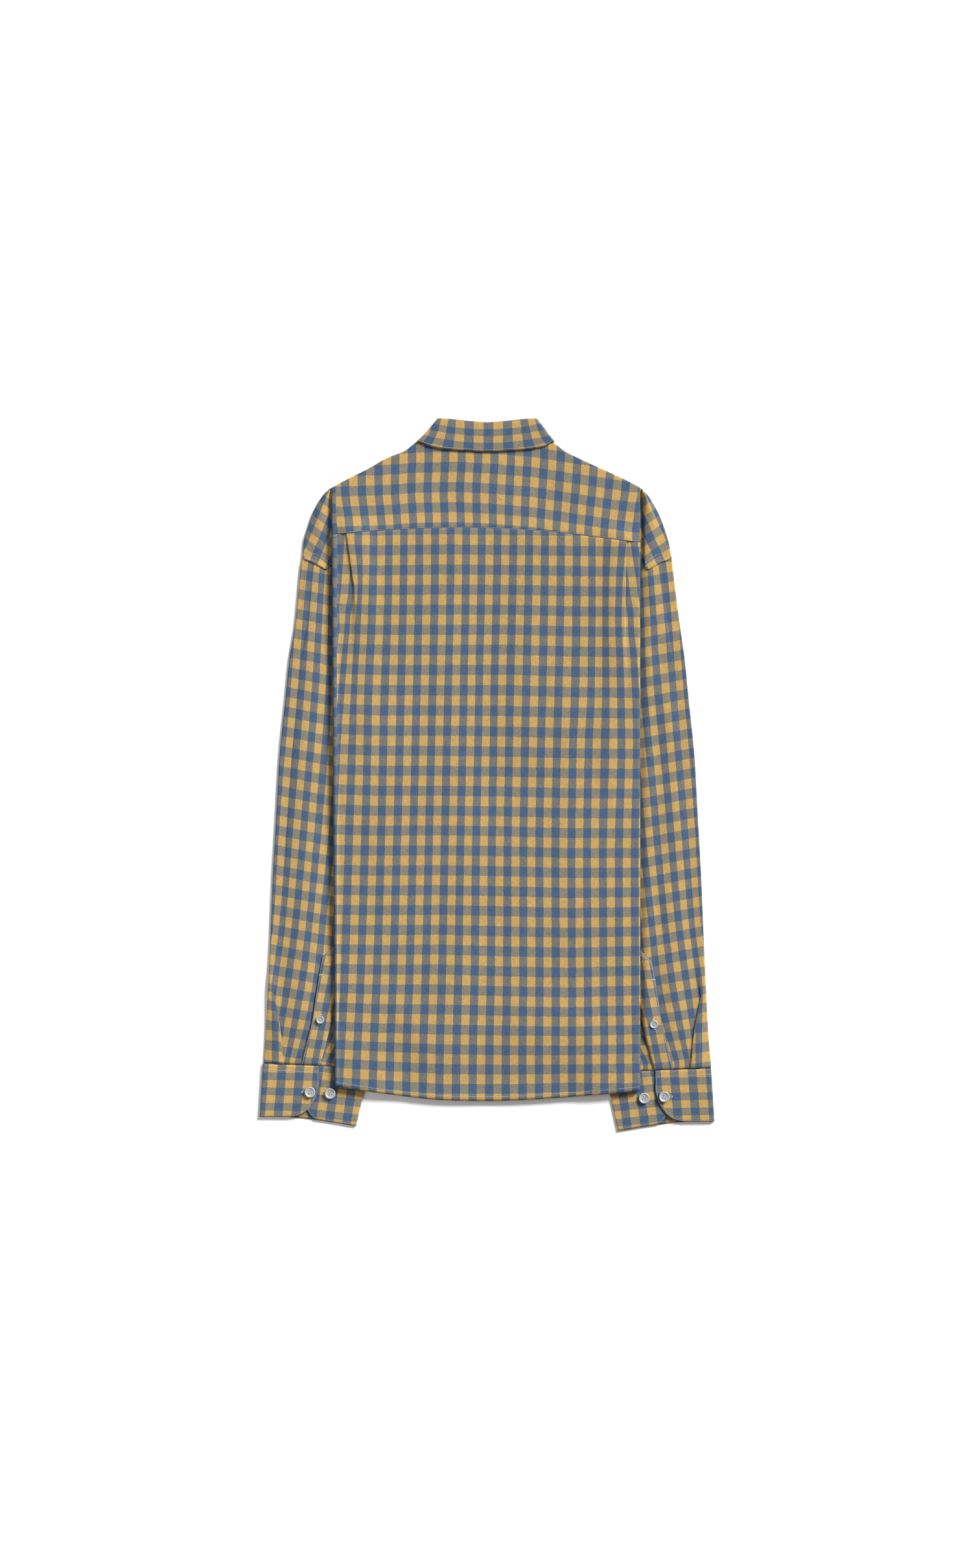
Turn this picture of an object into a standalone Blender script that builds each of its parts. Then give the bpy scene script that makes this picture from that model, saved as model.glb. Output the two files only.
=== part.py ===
# A long-sleeved gingham shirt laid flat, back up, with its sides turned under and its sleeves straight down.
# X runs across the shirt, Y up to the collar and Z up from the floor. Sizes in this file are millimetres.
# Each cut piece is one wall of cloth: rows of points along its middle, thickened by a Solidify modifier.
# Distances across are measured outwards from the centre back, and side is -1 on the left and +1 on the right.

import math

import bmesh
import bpy
import numpy as np

MM = 0.001

WALL = 1.0  # cloth of the body and sleeves
FIRM_WALL = 1.2  # collar and cuffs, two cloths and a stiffener
PLACKET_WALL = 0.8
LAYER = 1.4  # from the middle of one cloth to the middle of the next one lying on it
SEAM = 0.3  # between pieces that are sewn together
ARMHOLE_SEAM = 0.45  # measured down the page, across a seam that slopes
ARMHOLE_FADES = 0.4  # part of the sleeve's length over which its rows lose the armhole's curve

FLOOR_CLOTH = WALL / 2  # middle of a cloth that lies on the floor
SLEEVE_TOP = FLOOR_CLOTH + LAYER
UNDERARM = 82.0  # height on the page where the armhole meets the side seam
SIDE_TURNED_UNDER = 130.0  # width of the side that is turned under, below the underarm
SHOULDER_TIP = 325.0  # where the turned-under width runs out
FRONT_OVERLAP = 16.0  # how far each front reaches past the centre
FRONT_TURN_TOP = 252.0  # the front is turned under with the back from here down
FRONT_HEM_RISE = 4.0

LEFT, RIGHT = -1, 1
SIDES = ((LEFT, "left"), (RIGHT, "right"))


def table(names, rows):
    return dict(zip(names.split(), np.array(rows, float).T))


# Middle heights of the body's layers from the bottom of the yoke to the collar.
LAYERS = table(
    "y back front turn",
    (
        (262, 8.6, 7.2, 4.4),
        (276, 8.2, 6.3, 4.3),
        (294, 7.0, 4.4, 4.0),
        (325, 5.6, 3.6, 3.6),
        (366, 4.6, 2.6, 2.6),
    ),
)
FRONT_TURN = LAYERS["front"][0] - LAYER  # height of the front where it is turned under

# Outer edge of the shoulder end and the sleeve.
OUTLINE = table(
    "y left right",
    (
        (325, 182.0, 178.3),
        (319, 187.2, 183.5),
        (307, 194.6, 190.9),
        (296, 199.8, 196.8),
        (284, 203.8, 201.3),
        (266, 209.0, 207.0),
        (254, 210.0, 209.4),
        (247, 210.7, 210.7),
        (238, 212.5, 211.6),
        (219, 214.4, 213.9),
        (174, 218.6, 219.5),
        (130, 225.7, 225.7),
        (85, 230.1, 230.1),
        (19, 236.8, 236.8),
        (-48, 240.5, 240.5),
        (-114, 244.2, 244.2),
        (-203, 247.9, 247.9),
        (-248, 250.1, 250.1),
        (-292, 252.3, 252.3),
        (-336, 255.2, 255.7),
    ),
)

# Straight fold at the body's side.
SIDE_FOLD = table("y left right", ((-356, 173.3, 174.3), (300, 177.2, 174.3)))

# Shoulder line, from under the collar out to the fold at the side.
SHOULDER = table(
    "y left right",
    (
        (379.2, 74.5, 74.5),
        (375.0, 85.5, 80.5),
        (369.5, 93.3, 87.4),
        (360.8, 114.7, 104.3),
        (348.9, 135.4, 130.2),
        (337.0, 159.1, 156.1),
        (327.4, 177.2, 174.3),
    ),
)

# Bottom edge of the yoke and the hem. Across is signed here, and runs on into the turned-under sides.
YOKE_SEAM = table(
    "across y",
    (
        (-205, 272.0),
        (-171, 274.5),
        (-117, 278.8),
        (-27, 281.6),
        (30, 279.5),
        (84, 275.9),
        (131, 270.2),
        (173, 264.9),
        (205, 261.0),
    ),
)
HEM = table(
    "across y",
    (
        (-305, -322.0),
        (-240, -342.0),
        (-173, -355.6),
        (-121, -363.7),
        (-45, -371.9),
        (0, -372.7),
        (48, -371.1),
        (120, -365.9),
        (173, -361.1),
        (240, -350.0),
        (305, -330.0),
    ),
)

# Neck seam of the back, which the collar covers.
BACK_NECK = table("across y", ((0, 373.7), (20, 374.2), (40, 375.4), (60, 377.4), (74.5, 379.2)))
FRONT_NECK_LOW = 270.0
FRONT_NECK_SIDE = (70.0, 338.0)
FRONT_YOKE_END = (142.0, 292.5)  # outer end of the seam between the yoke and the front
YOKE_TURN_END = (144.0, 294.0)

ARMHOLE = table(
    "across y",
    (
        (45, UNDERARM),
        (70, 118),
        (110, 170),
        (145, 212),
        (168, 231.5),
        (180, 239.5),
        (189, 243.9),
        (198, 246.0),
        (210, 247),
    ),
)
SLEEVE_INNER = table("y across", ((-334, 134.5), (-150, 98.0), (0, 62.0), (UNDERARM, 45.0)))
SHOULDER_END_TOP = (140.0, 305.0)  # inner top corner of the shoulder end, hidden under the yoke

# Pleats of the back: where the folded edge lies, how far it overlaps, and how far below the seam it runs out.
BACK_PLEAT = {
    LEFT: {"top": 160.4, "foot": 152.0, "overlap": 10.0, "length": 60.0},
    RIGHT: {"top": 158.8, "foot": 157.4, "overlap": 7.0, "length": 88.0},
}
PLEAT_APPROACH = 18.0  # the cloth climbs onto the pleat over this width

# Outer top corner of each cuff. Cuff, placket and sleeve pleat are measured from it, inwards and down.
CUFF_CORNER = {LEFT: (255.6, -330.0), RIGHT: (255.6, -335.3)}
CUFF_SLOPE = 0.044
SLEEVE_LENGTH = {side: 246.5 - corner[1] for side, corner in CUFF_CORNER.items()}
SLEEVE_PLEAT = table("down inward", ((-106, 6.8), (-68, 14.7), (-36, 20.2), (0, 22.8)))
SLEEVE_PLEAT_OVERLAP = 8.0
SLEEVE_PLEAT_TOP = 106.0  # above the cuff
SLEEVE_PLEAT_OPENS = 84.0  # flat-folded from here down to the cuff
SLIT_TOP = -101.0
PLACKET = table(
    "down stitched free",
    (
        (-124, 67.3, 92.5),
        (-101, 63.3, 89.0),
        (-74, 59.0, 81.7),
        (-51, 55.6, 77.5),
        (-25, 49.2, 71.5),
        (0, 42.8, 65.0),
    ),
)
PLACKET_POINT = (80.0, -133.4)
PLACKET_CLEARANCE = 0.6  # over the sleeve, which slopes under it
SLIT_FROM_STITCHING = 3.0

# Cuff, station by station along the strip: inward and down of its top and bottom edge, and its height.
CUFF_FLAP = table(
    "top_in top_down low_in low_down height",
    (
        (63.6, 2.8, 63.6, 23.4, 3.6),
        (61.6, 2.7, 61.6, 34.8, 3.6),
        (57.2, 2.5, 57.2, 44.2, 3.6),
        (50.2, 2.2, 50.2, 53.4, 3.6),
        (40.3, 1.8, 40.3, 59.6, 3.6),
        (30.8, 1.4, 30.8, 61.0, 3.4),
        (16.0, 0.7, 14.0, 61.0, 3.2),
    ),
)
CUFF_UNDER = table(
    "top_in top_down low_in low_down height",
    (
        (20.0, 0.9, 18.0, 61.0, 0.6),
        (50.0, 2.2, 46.0, 62.6, 0.6),
        (85.0, 3.7, 78.0, 67.3, 0.6),
    ),
)
CUFF_END = table(
    "top_in top_down low_in low_down height",
    (
        (85.0, 3.7, 78.0, 66.9, 2.1),
        (62.0, 2.7, 59.5, 64.2, 2.1),
        (55.0, 2.4, 53.1, 58.5, 2.1),
        (51.0, 2.2, 50.6, 54.2, 2.1),
        (48.0, 2.1, 48.0, 44.0, 2.1),
    ),
)
CUFF_OUTER_FOLD = ((0.0, 0.0), (-3.8, 61.0))
CUFF_INNER_FOLD = ((120.6, 5.2), (105.8, 71.6))
CUFF_ROWS = 5

# Collar, station by station from the centre back to the front: top edge and lower edge of the leaf.
LEAF_BACK = table(
    "top_x top_y low_x low_y",
    ((0, 402.0, 0, 368.6), (20, 403.4, 25, 369.8), (38, 405.4, 50, 371.6), (49, 406.3, 68, 375.4)),
)
LEAF_FRONT = table(
    "top_x top_y low_x low_y",
    (
        (50, 392, 84, 362),
        (45, 372, 86, 338),
        (36, 350, 83, 312),
        (25, 327, 74, 283),
        (14, 309, 62, 258),
        (7, 300, 50, 242),
    ),
)
LEAF_FOLD = ((56.6, 406.6), (80.4, 380.5))
LEAF_BACK_HEIGHT, LEAF_FRONT_HEIGHT = 6.4, 0.6
STAND_BACK = table("low_x low_y", ((0, 374.3), (20, 374.8), (40, 376.0), (58, 378.2)))
STAND_FOLD = (73.6, 381.5)
STAND_BACK_HEIGHT, STAND_FRONT_HEIGHT = 4.6, 2.6
STAND_FRONT = table(
    "low_x low_y height",
    (
        (71.6, 362, 2.7),
        (69.0, 338.6, 3.1),
        (56, 312.2, 3.5),
        (43, 293.9, 3.9),
        (31, 281.6, 3.8),
        (19, 274.4, 3.8),
    ),
)
STAND_END = table("low_x top_x top_y", ((8, 7, 298.5), (-5, -5, 295.0), (-15, -15, 288.0)))
COLLAR_ROWS = 3

BUTTON_RADIUS, BUTTON_HEIGHT = 6.2, 2.4
SMALL_BUTTON_RADIUS, SMALL_BUTTON_HEIGHT = 4.6, 2.0
HIDDEN_BUTTON_RADIUS, HIDDEN_BUTTON_HEIGHT = 5.5, 2.0
CUFF_BUTTONS = {"fastened": (53.4, 32.7), "spare": (76.3, 34.3)}
PLACKET_BUTTON = (65.2, -50.0)
COLLAR_BUTTON_Y = 284.0
FRONT_BUTTONS = 6
FRONT_BUTTON_TOP, FRONT_BUTTON_PITCH = 220.0, 90.0
CENTRE_HEIGHT = {LEFT: 3.0, RIGHT: 4.4}  # the left front lies below the right one, on the buttons
CENTRE_HALF_WIDTH, CENTRE_CLIMB = 19.0, 24.0
BACK_SAG = 0.8
BACK_SAG_HALF_WIDTH = 42.0

CLOTH_COLOUR = (0.24, 0.25, 0.24, 1.0)
BUTTON_COLOUR = (0.62, 0.63, 0.62, 1.0)


def ease(t):
    t = min(max(t, 0.0), 1.0)
    return t * t * (3 - 2 * t)


def mix(a, b, t):
    return a + (b - a) * t


def read(rows, wanted, known, value):
    """The wanted column where the known one has this value, on a smooth curve that never overshoots."""
    order = np.argsort(rows[known])
    x, y = rows[known][order], rows[wanted][order]
    value = min(max(value, x[0]), x[-1])
    rise = np.diff(y) / np.diff(x)
    slope = np.concatenate([rise[:1], np.zeros(len(x) - 2), rise[-1:]])
    for i in range(1, len(x) - 1):
        if rise[i - 1] * rise[i] > 0:
            slope[i] = 2 * rise[i - 1] * rise[i] / (rise[i - 1] + rise[i])
    i = min(int(np.searchsorted(x, value, "right")) - 1, len(x) - 2)
    width = x[i + 1] - x[i]
    t = (value - x[i]) / width
    start = (1 + 2 * t) * (1 - t) ** 2 * y[i] + t * (1 - t) ** 2 * width * slope[i]
    return float(start + t * t * (3 - 2 * t) * y[i + 1] + t * t * (t - 1) * width * slope[i + 1])


def half_turn(across, start, end, way, pieces=4):
    """Cloth turned over from one height to another about a line at this distance across, outwards or in."""
    middle, radius = (start + end) / 2, (start - end) / 2
    angles = [math.pi * k / pieces for k in range(pieces + 1)]
    return [(across + way * abs(radius) * math.sin(a), middle + radius * math.cos(a)) for a in angles]


def pleat_fold(edge, low, drop, bend, run, way):
    """A pleat's section, from its high side past the folded edge and back under to its low side.
    The cloth turns through the angle bend and back, with a run between: half a turn where it lies flat."""
    radius = LAYER / 2 * math.pi / bend
    angles = [bend * k / 4 for k in range(5)]
    far = 2 * radius * math.sin(bend) + run * math.cos(bend)
    height = 2 * radius * (1 - math.cos(bend)) + run * math.sin(bend)
    points = [(radius * math.sin(a), height - radius * (1 - math.cos(a))) for a in angles]
    points += [(far - radius * math.sin(a), radius * (1 - math.cos(a))) for a in reversed(angles)]
    shift = radius if bend > math.pi / 2 else far / 2
    return [(edge + way * (x - shift), low + z * drop / height) for x, z in points]


def opened_pleat(past_end, fade):
    """Bend and run of a pleat's section where it is no longer folded flat and opens into a soft step."""
    bend = max(1.25 * math.exp(-past_end / fade), 0.1)
    return bend, 4 * (1 - bend / 1.3)


def material(name, colour, roughness):
    made = bpy.data.materials.new(name)
    made.use_nodes = True
    shader = made.node_tree.nodes["Principled BSDF"]
    shader.inputs["Base Color"].default_value = colour
    shader.inputs["Roughness"].default_value = roughness
    shader.inputs["Metallic"].default_value = 0.0
    return made


def add_object(name, mesh, finish):
    """An object with a material of its own, under the empty that stands for the whole shirt."""
    mesh.materials.append(material(f"{name}_finish", *finish))
    made = bpy.data.objects.new(name, mesh)
    bpy.context.scene.collection.objects.link(made)
    made.parent = bpy.data.objects["shirt"]
    return made


def cloth(name, patches, wall, finish):
    """One wall of cloth from patches, each a grid of points in rows. Points that patches share become one."""
    mesh = bpy.data.meshes.new(name)
    shape = bmesh.new()
    made = {}

    def corner(point):
        key = tuple(round(float(v), 4) for v in point)
        if key not in made:
            made[key] = shape.verts.new([v * MM for v in key])
        return made[key]

    for rows in patches:
        grid = [[corner(point) for point in row] for row in rows]
        for low, high in zip(grid, grid[1:]):
            for j in range(len(low) - 1):
                ring = list(dict.fromkeys([low[j], low[j + 1], high[j + 1], high[j]]))
                if len(ring) > 2:
                    shape.faces.new(ring)
    bmesh.ops.recalc_face_normals(shape, faces=shape.faces)
    shape.to_mesh(mesh)
    shape.free()
    made_object = add_object(name, mesh, finish)
    thick = made_object.modifiers.new("Wall", "SOLIDIFY")
    thick.thickness = wall * MM
    thick.offset = 0
    thick.use_even_offset = True
    thick.use_quality_normals = True
    return made_object


def place(side, across, y, z):
    return (side * across, y, z)


# Heights


def back_height(side, across, y):
    """Middle of the back and the yoke."""
    slack = (1 - ease(across / BACK_SAG_HALF_WIDTH)) * (1 - ease((y - 250) / 70))
    return read(LAYERS, "back", "y", y) - BACK_SAG * slack


def front_height(side, across, y):
    level = read(LAYERS, "front", "y", y)
    centre = 1 - ease((abs(across) - CENTRE_HALF_WIDTH) / CENTRE_CLIMB)
    return mix(level, min(level, CENTRE_HEIGHT[side]), centre)


def sleeve_height(side, across, y):
    """Middle of the upper wall of a sleeve, which rounds up a little outside the body."""
    column = "left" if side == LEFT else "right"
    outer = read(OUTLINE, column, "y", y)
    inner = read(SIDE_FOLD, column, "y", y) + 2
    t = min(max((outer - across) / (outer - inner), 0.0), 1.0)
    above_cuff = y - CUFF_CORNER[side][1]
    fullness = mix(2.6, 1.8, ease(y / 200)) * mix(0.1, 1.0, ease(above_cuff / 60))
    return SLEEVE_TOP + fullness * math.sin(math.pi * t) ** 2


def turned_under(side, y):
    return SIDE_TURNED_UNDER * min((SHOULDER_TIP - y) / (SHOULDER_TIP - UNDERARM), 1.0)


def side_fold(side, y):
    return read(SIDE_FOLD, "left" if side == LEFT else "right", "y", y)


# Back


def back_pleat(side, below_seam):
    """The pleat's section at this row: folded edge, height of the step over it, bend and run."""
    pleat = BACK_PLEAT[side]
    share = below_seam / pleat["length"]
    edge = mix(pleat["top"], pleat["foot"], min(share, 1.0))
    if share < 0.97:
        return edge, 2 * LAYER, math.pi, pleat["overlap"] * (1 - share)
    past_end = below_seam - pleat["length"]
    return (edge, 2 * LAYER * math.exp(-((past_end / 75) ** 2)), *opened_pleat(past_end, 24))


def pleat_start(side, edge):
    """Where the cloth starts to climb onto the pleat."""
    return edge - BACK_PLEAT[side]["overlap"] - 6 - PLEAT_APPROACH


def pleat_lift(side, across):
    """How far the yoke rides up over the back's pleat at their seam."""
    edge = BACK_PLEAT[side]["top"]
    up = ease((across - pleat_start(side, edge)) / PLEAT_APPROACH)
    return 2 * LAYER * up * (1 - ease((across - edge) / 9))


def back_half(side, below_seam, share):
    """A row of the back from the centre out, round the side fold and in again.
    Each point is across, height, and how far it is from the centre with the cloth unfolded."""
    y = mix(read(YOKE_SEAM, "y", "across", side * 170), read(HEM, "y", "across", side * 170), share)
    edge, drop, bend, run = back_pleat(side, below_seam)
    start = pleat_start(side, edge)

    def level(across):
        return back_height(side, across, y)

    row = [(start * k / 5, level(start * k / 5)) for k in range(1, 6)]
    row += [(x, level(x) + drop * ease((x - start) / PLEAT_APPROACH)) for x in (start + 9, start + 18)]
    row += pleat_fold(edge, level(edge), drop, bend, run, 1)
    row.append((edge + 9, level(edge + 9)))
    fold = side_fold(side, y)
    low = read(LAYERS, "turn", "y", y)
    radius = (level(fold) - low) / 2
    row += half_turn(fold - radius, level(fold), low, 1, 6)
    points = [(x, z, x) for x, z in row]
    for k in (1, 2, 3):
        x = mix(fold - radius, fold - turned_under(side, y), k / 3)
        points.append((x, low, 2 * fold - x))
    return points


def make_back(finish):
    length = 630.0
    rows = []
    for below_seam in (0, 14, 28, 42, 56, 66, 75, 84, 94, 108, 135, 185, 250, 330, 420, 520, length):
        share = below_seam / length
        halves = {side: back_half(side, below_seam, share) for side in (LEFT, RIGHT)}
        across = [(-x, z, -s) for x, z, s in reversed(halves[LEFT])]
        across.append((0, back_height(LEFT, 0, mix(281, -372, share)), 0))
        across += halves[RIGHT]
        row = []
        for x, z, unfolded in across:
            top = read(YOKE_SEAM, "y", "across", unfolded) - SEAM
            row.append((x, mix(top, read(HEM, "y", "across", unfolded), share), z))
        rows.append(row)
    cloth("back", [rows], WALL, finish)


# Yoke


def yoke_top(side, across):
    column = "left" if side == LEFT else "right"
    if across <= read(SHOULDER, column, "y", 379.2):
        return read(BACK_NECK, "y", "across", across)
    return read(SHOULDER, "y", column, across)


def yoke_columns(side):
    """Columns of the yoke from the centre out: to the neck, then shares of the way to the side fold."""
    neck = read(SHOULDER, "left" if side == LEFT else "right", "y", 379.2)
    return [(neck * k / 4, 0.0) for k in range(1, 5)] + [(neck, k / 6) for k in range(1, 7)]


def yoke_spot(side, column, step):
    """Point of the yoke's flat, a step of the way up from its bottom edge."""
    start, share = column
    across = mix(start, side_fold(side, 300) - 1, share)
    top = yoke_top(side, across) - (LAYER / 2 if share else 0)
    y = mix(read(YOKE_SEAM, "y", "across", side * across), top, step)
    radius = (read(LAYERS, "back", "y", y) - read(LAYERS, "turn", "y", y)) / 2
    across = mix(start, side_fold(side, y) - radius, share)
    above_seam = y - read(YOKE_SEAM, "y", "across", side * across)
    lift = pleat_lift(side, across) * (1 - ease(above_seam / 26)) if share < 1 else 0.0
    return across, y, back_height(side, across, y) + lift


def make_yoke(finish):
    """The flat of the yoke, and on each side a strip turned under at the shoulder and down the side fold."""
    steps = (0, 0.1, 0.24, 0.42, 0.62, 0.82, 1)
    plate = []
    for step in steps:
        left = [place(LEFT, *yoke_spot(LEFT, column, step)) for column in yoke_columns(LEFT)]
        right = [place(RIGHT, *yoke_spot(RIGHT, column, step)) for column in yoke_columns(RIGHT)]
        y = mix(read(YOKE_SEAM, "y", "across", 0), read(BACK_NECK, "y", "across", 0), step)
        plate.append(left[::-1] + [(0, y, back_height(LEFT, 0, y))] + right)
    strips = []
    for side in (LEFT, RIGHT):
        columns = yoke_columns(side)
        shoulder = [yoke_spot(side, column, 1) for column in columns[3:]]
        rim = shoulder + [yoke_spot(side, columns[-1], step) for step in reversed(steps[:-1])]
        corner = len(shoulder) - 1
        strip = []
        for i, (across, y, z) in enumerate(rim):
            if i <= corner:
                t = i / corner
                inner = tuple(mix(a, b, t) for a, b in zip(FRONT_NECK_SIDE, YOKE_TURN_END))
                out = (0.42, 0.9) if i < corner else (0.8, 0.6)
            else:
                t = (i - corner) / (len(rim) - 1 - corner)
                inner = (mix(YOKE_TURN_END[0], side_fold(side, y) - turned_under(side, y), t),
                         mix(YOKE_TURN_END[1], rim[-1][1], t))
                out = (1.0, 0.0)
            low = read(LAYERS, "turn", "y", y)
            row = [place(side, across + out[0] * r, y + out[1] * r, h) for r, h in half_turn(0, z, low, 1, 6)]
            for t in (0.5, 1.0):
                height = mix(low, read(LAYERS, "turn", "y", inner[1]), t)
                row.append(place(side, mix(across, inner[0], t), mix(y, inner[1], t), height))
            strip.append(row)
        strips.append(strip)
    cloth("yoke", [plate] + strips, WALL, finish)


# Shoulder ends


def make_shoulder_end(side, name, finish):
    """The shoulder that drops outside the body's side fold, upper and lower wall, down to the armhole."""
    column = "left" if side == LEFT else "right"
    radius = LAYER / 2
    inner_top, inner_low = np.array(SHOULDER_END_TOP), np.array((ARMHOLE["across"][0], ARMHOLE["y"][0]))
    outer_top = np.array((read(OUTLINE, column, "y", 323) - radius, 323.0))
    outer_low = np.array((ARMHOLE["across"][-1], ARMHOLE["y"][-1]))
    shares = [(outer_low[0] - across) / (outer_low[0] - inner_low[0]) for across in ARMHOLE["across"]]

    def spot(i, v):
        """Point i of the armhole carried up to the shoulder line, v being 0 there and 1 at the armhole."""
        u = shares[i]
        y = mix(outer_top[1], outer_low[1], v)
        outer = np.array((read(OUTLINE, column, "y", y) - radius, y))
        hole = np.array((ARMHOLE["across"][i], ARMHOLE["y"][i]))
        corners = mix(mix(outer_top, outer_low, v), mix(inner_top, inner_low, v), u)
        down = mix(mix(outer_top, inner_top, u), hole, v)
        return mix(outer, mix(inner_top, inner_low, v), u) + down - corners

    rows = []
    last = len(shares) - 1
    for v in (0, 0.2, 0.4, 0.6, 0.8, 1.0):
        row = []
        for i in range(last):
            x, y = spot(i, v)
            row.append(place(side, x, y, sleeve_height(side, x, y)))
        x, y = spot(last, v)
        row += [place(side, across, y, z) for across, z in half_turn(x, SLEEVE_TOP, FLOOR_CLOTH, 1)]
        for i in reversed(range(last)):
            x, y = spot(i, v)
            row.append(place(side, x, y, FLOOR_CLOTH))
        rows.append(row)
    cloth(name, [rows], WALL, finish)


# Fronts


def front_top(across):
    """Top edge of a front: neck, seam with the yoke, and the edge that goes down to the side fold."""
    across = abs(across)
    if across < FRONT_NECK_SIDE[0]:
        rise = FRONT_NECK_SIDE[1] - FRONT_NECK_LOW
        return FRONT_NECK_LOW - SEAM + rise * (across / FRONT_NECK_SIDE[0]) ** 2.2
    if across < FRONT_YOKE_END[0]:
        t = (across - FRONT_NECK_SIDE[0]) / (FRONT_YOKE_END[0] - FRONT_NECK_SIDE[0])
        return mix(FRONT_NECK_SIDE[1], FRONT_YOKE_END[1], t) - 2 * SEAM
    t = (across - FRONT_YOKE_END[0]) / 8
    if t < 1:
        return mix(FRONT_YOKE_END[1] - 2 * SEAM, 272.0, t)
    return mix(272.0, FRONT_TURN_TOP, (across - 150) / 24)


def make_front(side, name, finish):
    fold_in = LAYER  # the front is folded inside the back
    rows = []
    for below in (0, 8, 17, 27, 40, 58, 84, 120, 180, 260, 360, 460, 545, 620):
        row = []
        across_main = (-FRONT_OVERLAP, -5, 8, 19, 31, 43, 56, 70, 94, 118, 142, 150, 161)
        for across in across_main:
            top = front_top(across)
            hem = read(HEM, "y", "across", side * across) + FRONT_HEM_RISE
            y = mix(top, hem, below / 620)
            row.append(place(side, across, y, front_height(side, across, y)))
        hem = read(HEM, "y", "across", side * 174) + FRONT_HEM_RISE
        y = mix(FRONT_TURN_TOP, hem, below / 620)
        fold = side_fold(side, y) - fold_in
        radius = LAYER / 2
        row += [place(side, x, y, z) for x, z in half_turn(fold - radius, FRONT_TURN + LAYER, FRONT_TURN, 1)]
        for k in (1, 2, 3):
            x = mix(fold - radius, side_fold(side, y) - turned_under(side, y), k / 3)
            unfolded = 2 * fold - x
            hem = read(HEM, "y", "across", side * unfolded) + FRONT_HEM_RISE
            row.append(place(side, x, mix(FRONT_TURN_TOP, hem, below / 620), FRONT_TURN))
        rows.append(row)
    cloth(name, [rows], WALL, finish)


# Sleeves


def from_cuff(side, inward, down):
    across, y = CUFF_CORNER[side]
    return across - inward, y - down


def armhole_y(across):
    """Straight from one point of the armhole to the next, so that both its sides agree."""
    return float(np.interp(across, ARMHOLE["across"], ARMHOLE["y"])) - ARMHOLE_SEAM


def sleeve_edges(side, way_down):
    """Outer and inner edge of the sleeve, part of the way down from the armhole to the cuff."""
    outer_y = mix(armhole_y(210), CUFF_CORNER[side][1] + SEAM, way_down)
    inner_y = mix(armhole_y(45), CUFF_CORNER[side][1] - CUFF_SLOPE * 121 + SEAM, way_down)
    outer = read(OUTLINE, "left" if side == LEFT else "right", "y", outer_y)
    return outer, read(SLEEVE_INNER, "across", "y", inner_y)


def sleeve_y(side, across, way_down):
    """Height on the page of the sleeve's row at this distance across."""
    outer, inner = sleeve_edges(side, way_down)
    share = (outer - LAYER / 2 - across) / (outer - LAYER / 2 - inner)
    low = CUFF_CORNER[side][1] - CUFF_SLOPE * 121 * share + SEAM
    straight = mix(armhole_y(210), armhole_y(45), share)
    top = mix(armhole_y(mix(210, 45, share)), straight, ease(way_down / ARMHOLE_FADES))
    return mix(top, low, way_down)


def sleeve_pleat(side, above_cuff, outer):
    """The pleat's section at this row: folded edge, height of the step, bend, run, and the step left at the
    outer fold. The strip on top starts from the outer fold and widens to the cuff."""
    if above_cuff < SLEEVE_PLEAT_OPENS:
        edge = CUFF_CORNER[side][0] - read(SLEEVE_PLEAT, "inward", "down", -above_cuff)
        run = SLEEVE_PLEAT_OVERLAP * (1 - above_cuff / SLEEVE_PLEAT_TOP)
        at_fold = 2 * LAYER * (1 - ease((outer - edge - 4) / 14))
        return edge, 2 * LAYER, math.pi, run, at_fold
    past_end = above_cuff - SLEEVE_PLEAT_OPENS
    drop = 2 * LAYER * math.exp(-((past_end / 24) ** 2))
    return (outer - 6.5 - min(past_end / 12, 3), drop, *opened_pleat(past_end, 14), drop)


def sleeve_row(side, above_cuff, closed):
    """A ring of the sleeve from the slit out past the pleat, round the outer edge and back under."""
    way_down = 1 - above_cuff / SLEEVE_LENGTH[side]
    outer, inner = sleeve_edges(side, way_down)
    slit_in = read(PLACKET, "stitched", "down", max(-above_cuff, -124)) + SLIT_FROM_STITCHING
    slit = mix(mix(outer, inner, 0.5), CUFF_CORNER[side][0] - slit_in, ease((330 - above_cuff) / 200))
    radius = LAYER / 2

    def at(across, height):
        return place(side, across, sleeve_y(side, across, way_down), height)

    def upper(across):
        return sleeve_height(side, across, sleeve_y(side, across, way_down))

    edge, step, bend, run, at_fold = sleeve_pleat(side, above_cuff, outer)
    section = pleat_fold(edge, upper(edge), step, bend, run, -1)[::-1]
    start = section[0][0]
    row = [at(mix(slit, start, k / 4), upper(mix(slit, start, k / 4))) for k in range(4)]
    row += [at(x, z) for x, z in section]
    fold_radius = radius + at_fold / 2
    strip_start = max(section[0][0], section[-1][0]) + 1.2
    strip_end = outer - fold_radius
    row.append(at(strip_start, upper(strip_start) + step))
    middle = mix(strip_start, strip_end, 0.5)
    row.append(at(middle, upper(middle) + mix(step, at_fold, 0.5)))
    row += [at(x, z) for x, z in half_turn(strip_end, SLEEVE_TOP + at_fold, FLOOR_CLOTH, 1)]
    row += [at(mix(strip_end, inner, k / 6), FLOOR_CLOTH) for k in range(1, 6)]
    row += [at(x, z) for x, z in half_turn(inner + radius, FLOOR_CLOTH, SLEEVE_TOP, -1)]
    row += [at(mix(inner, slit, k / 4), upper(mix(inner, slit, k / 4))) for k in (1, 2, 3)]
    half_gap = 0.0 if closed else SEAM / 2
    x, y, z = row[0]
    row[0] = (x + side * half_gap, y, z)
    row.append((x - side * half_gap, y, z))
    return row


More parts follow.
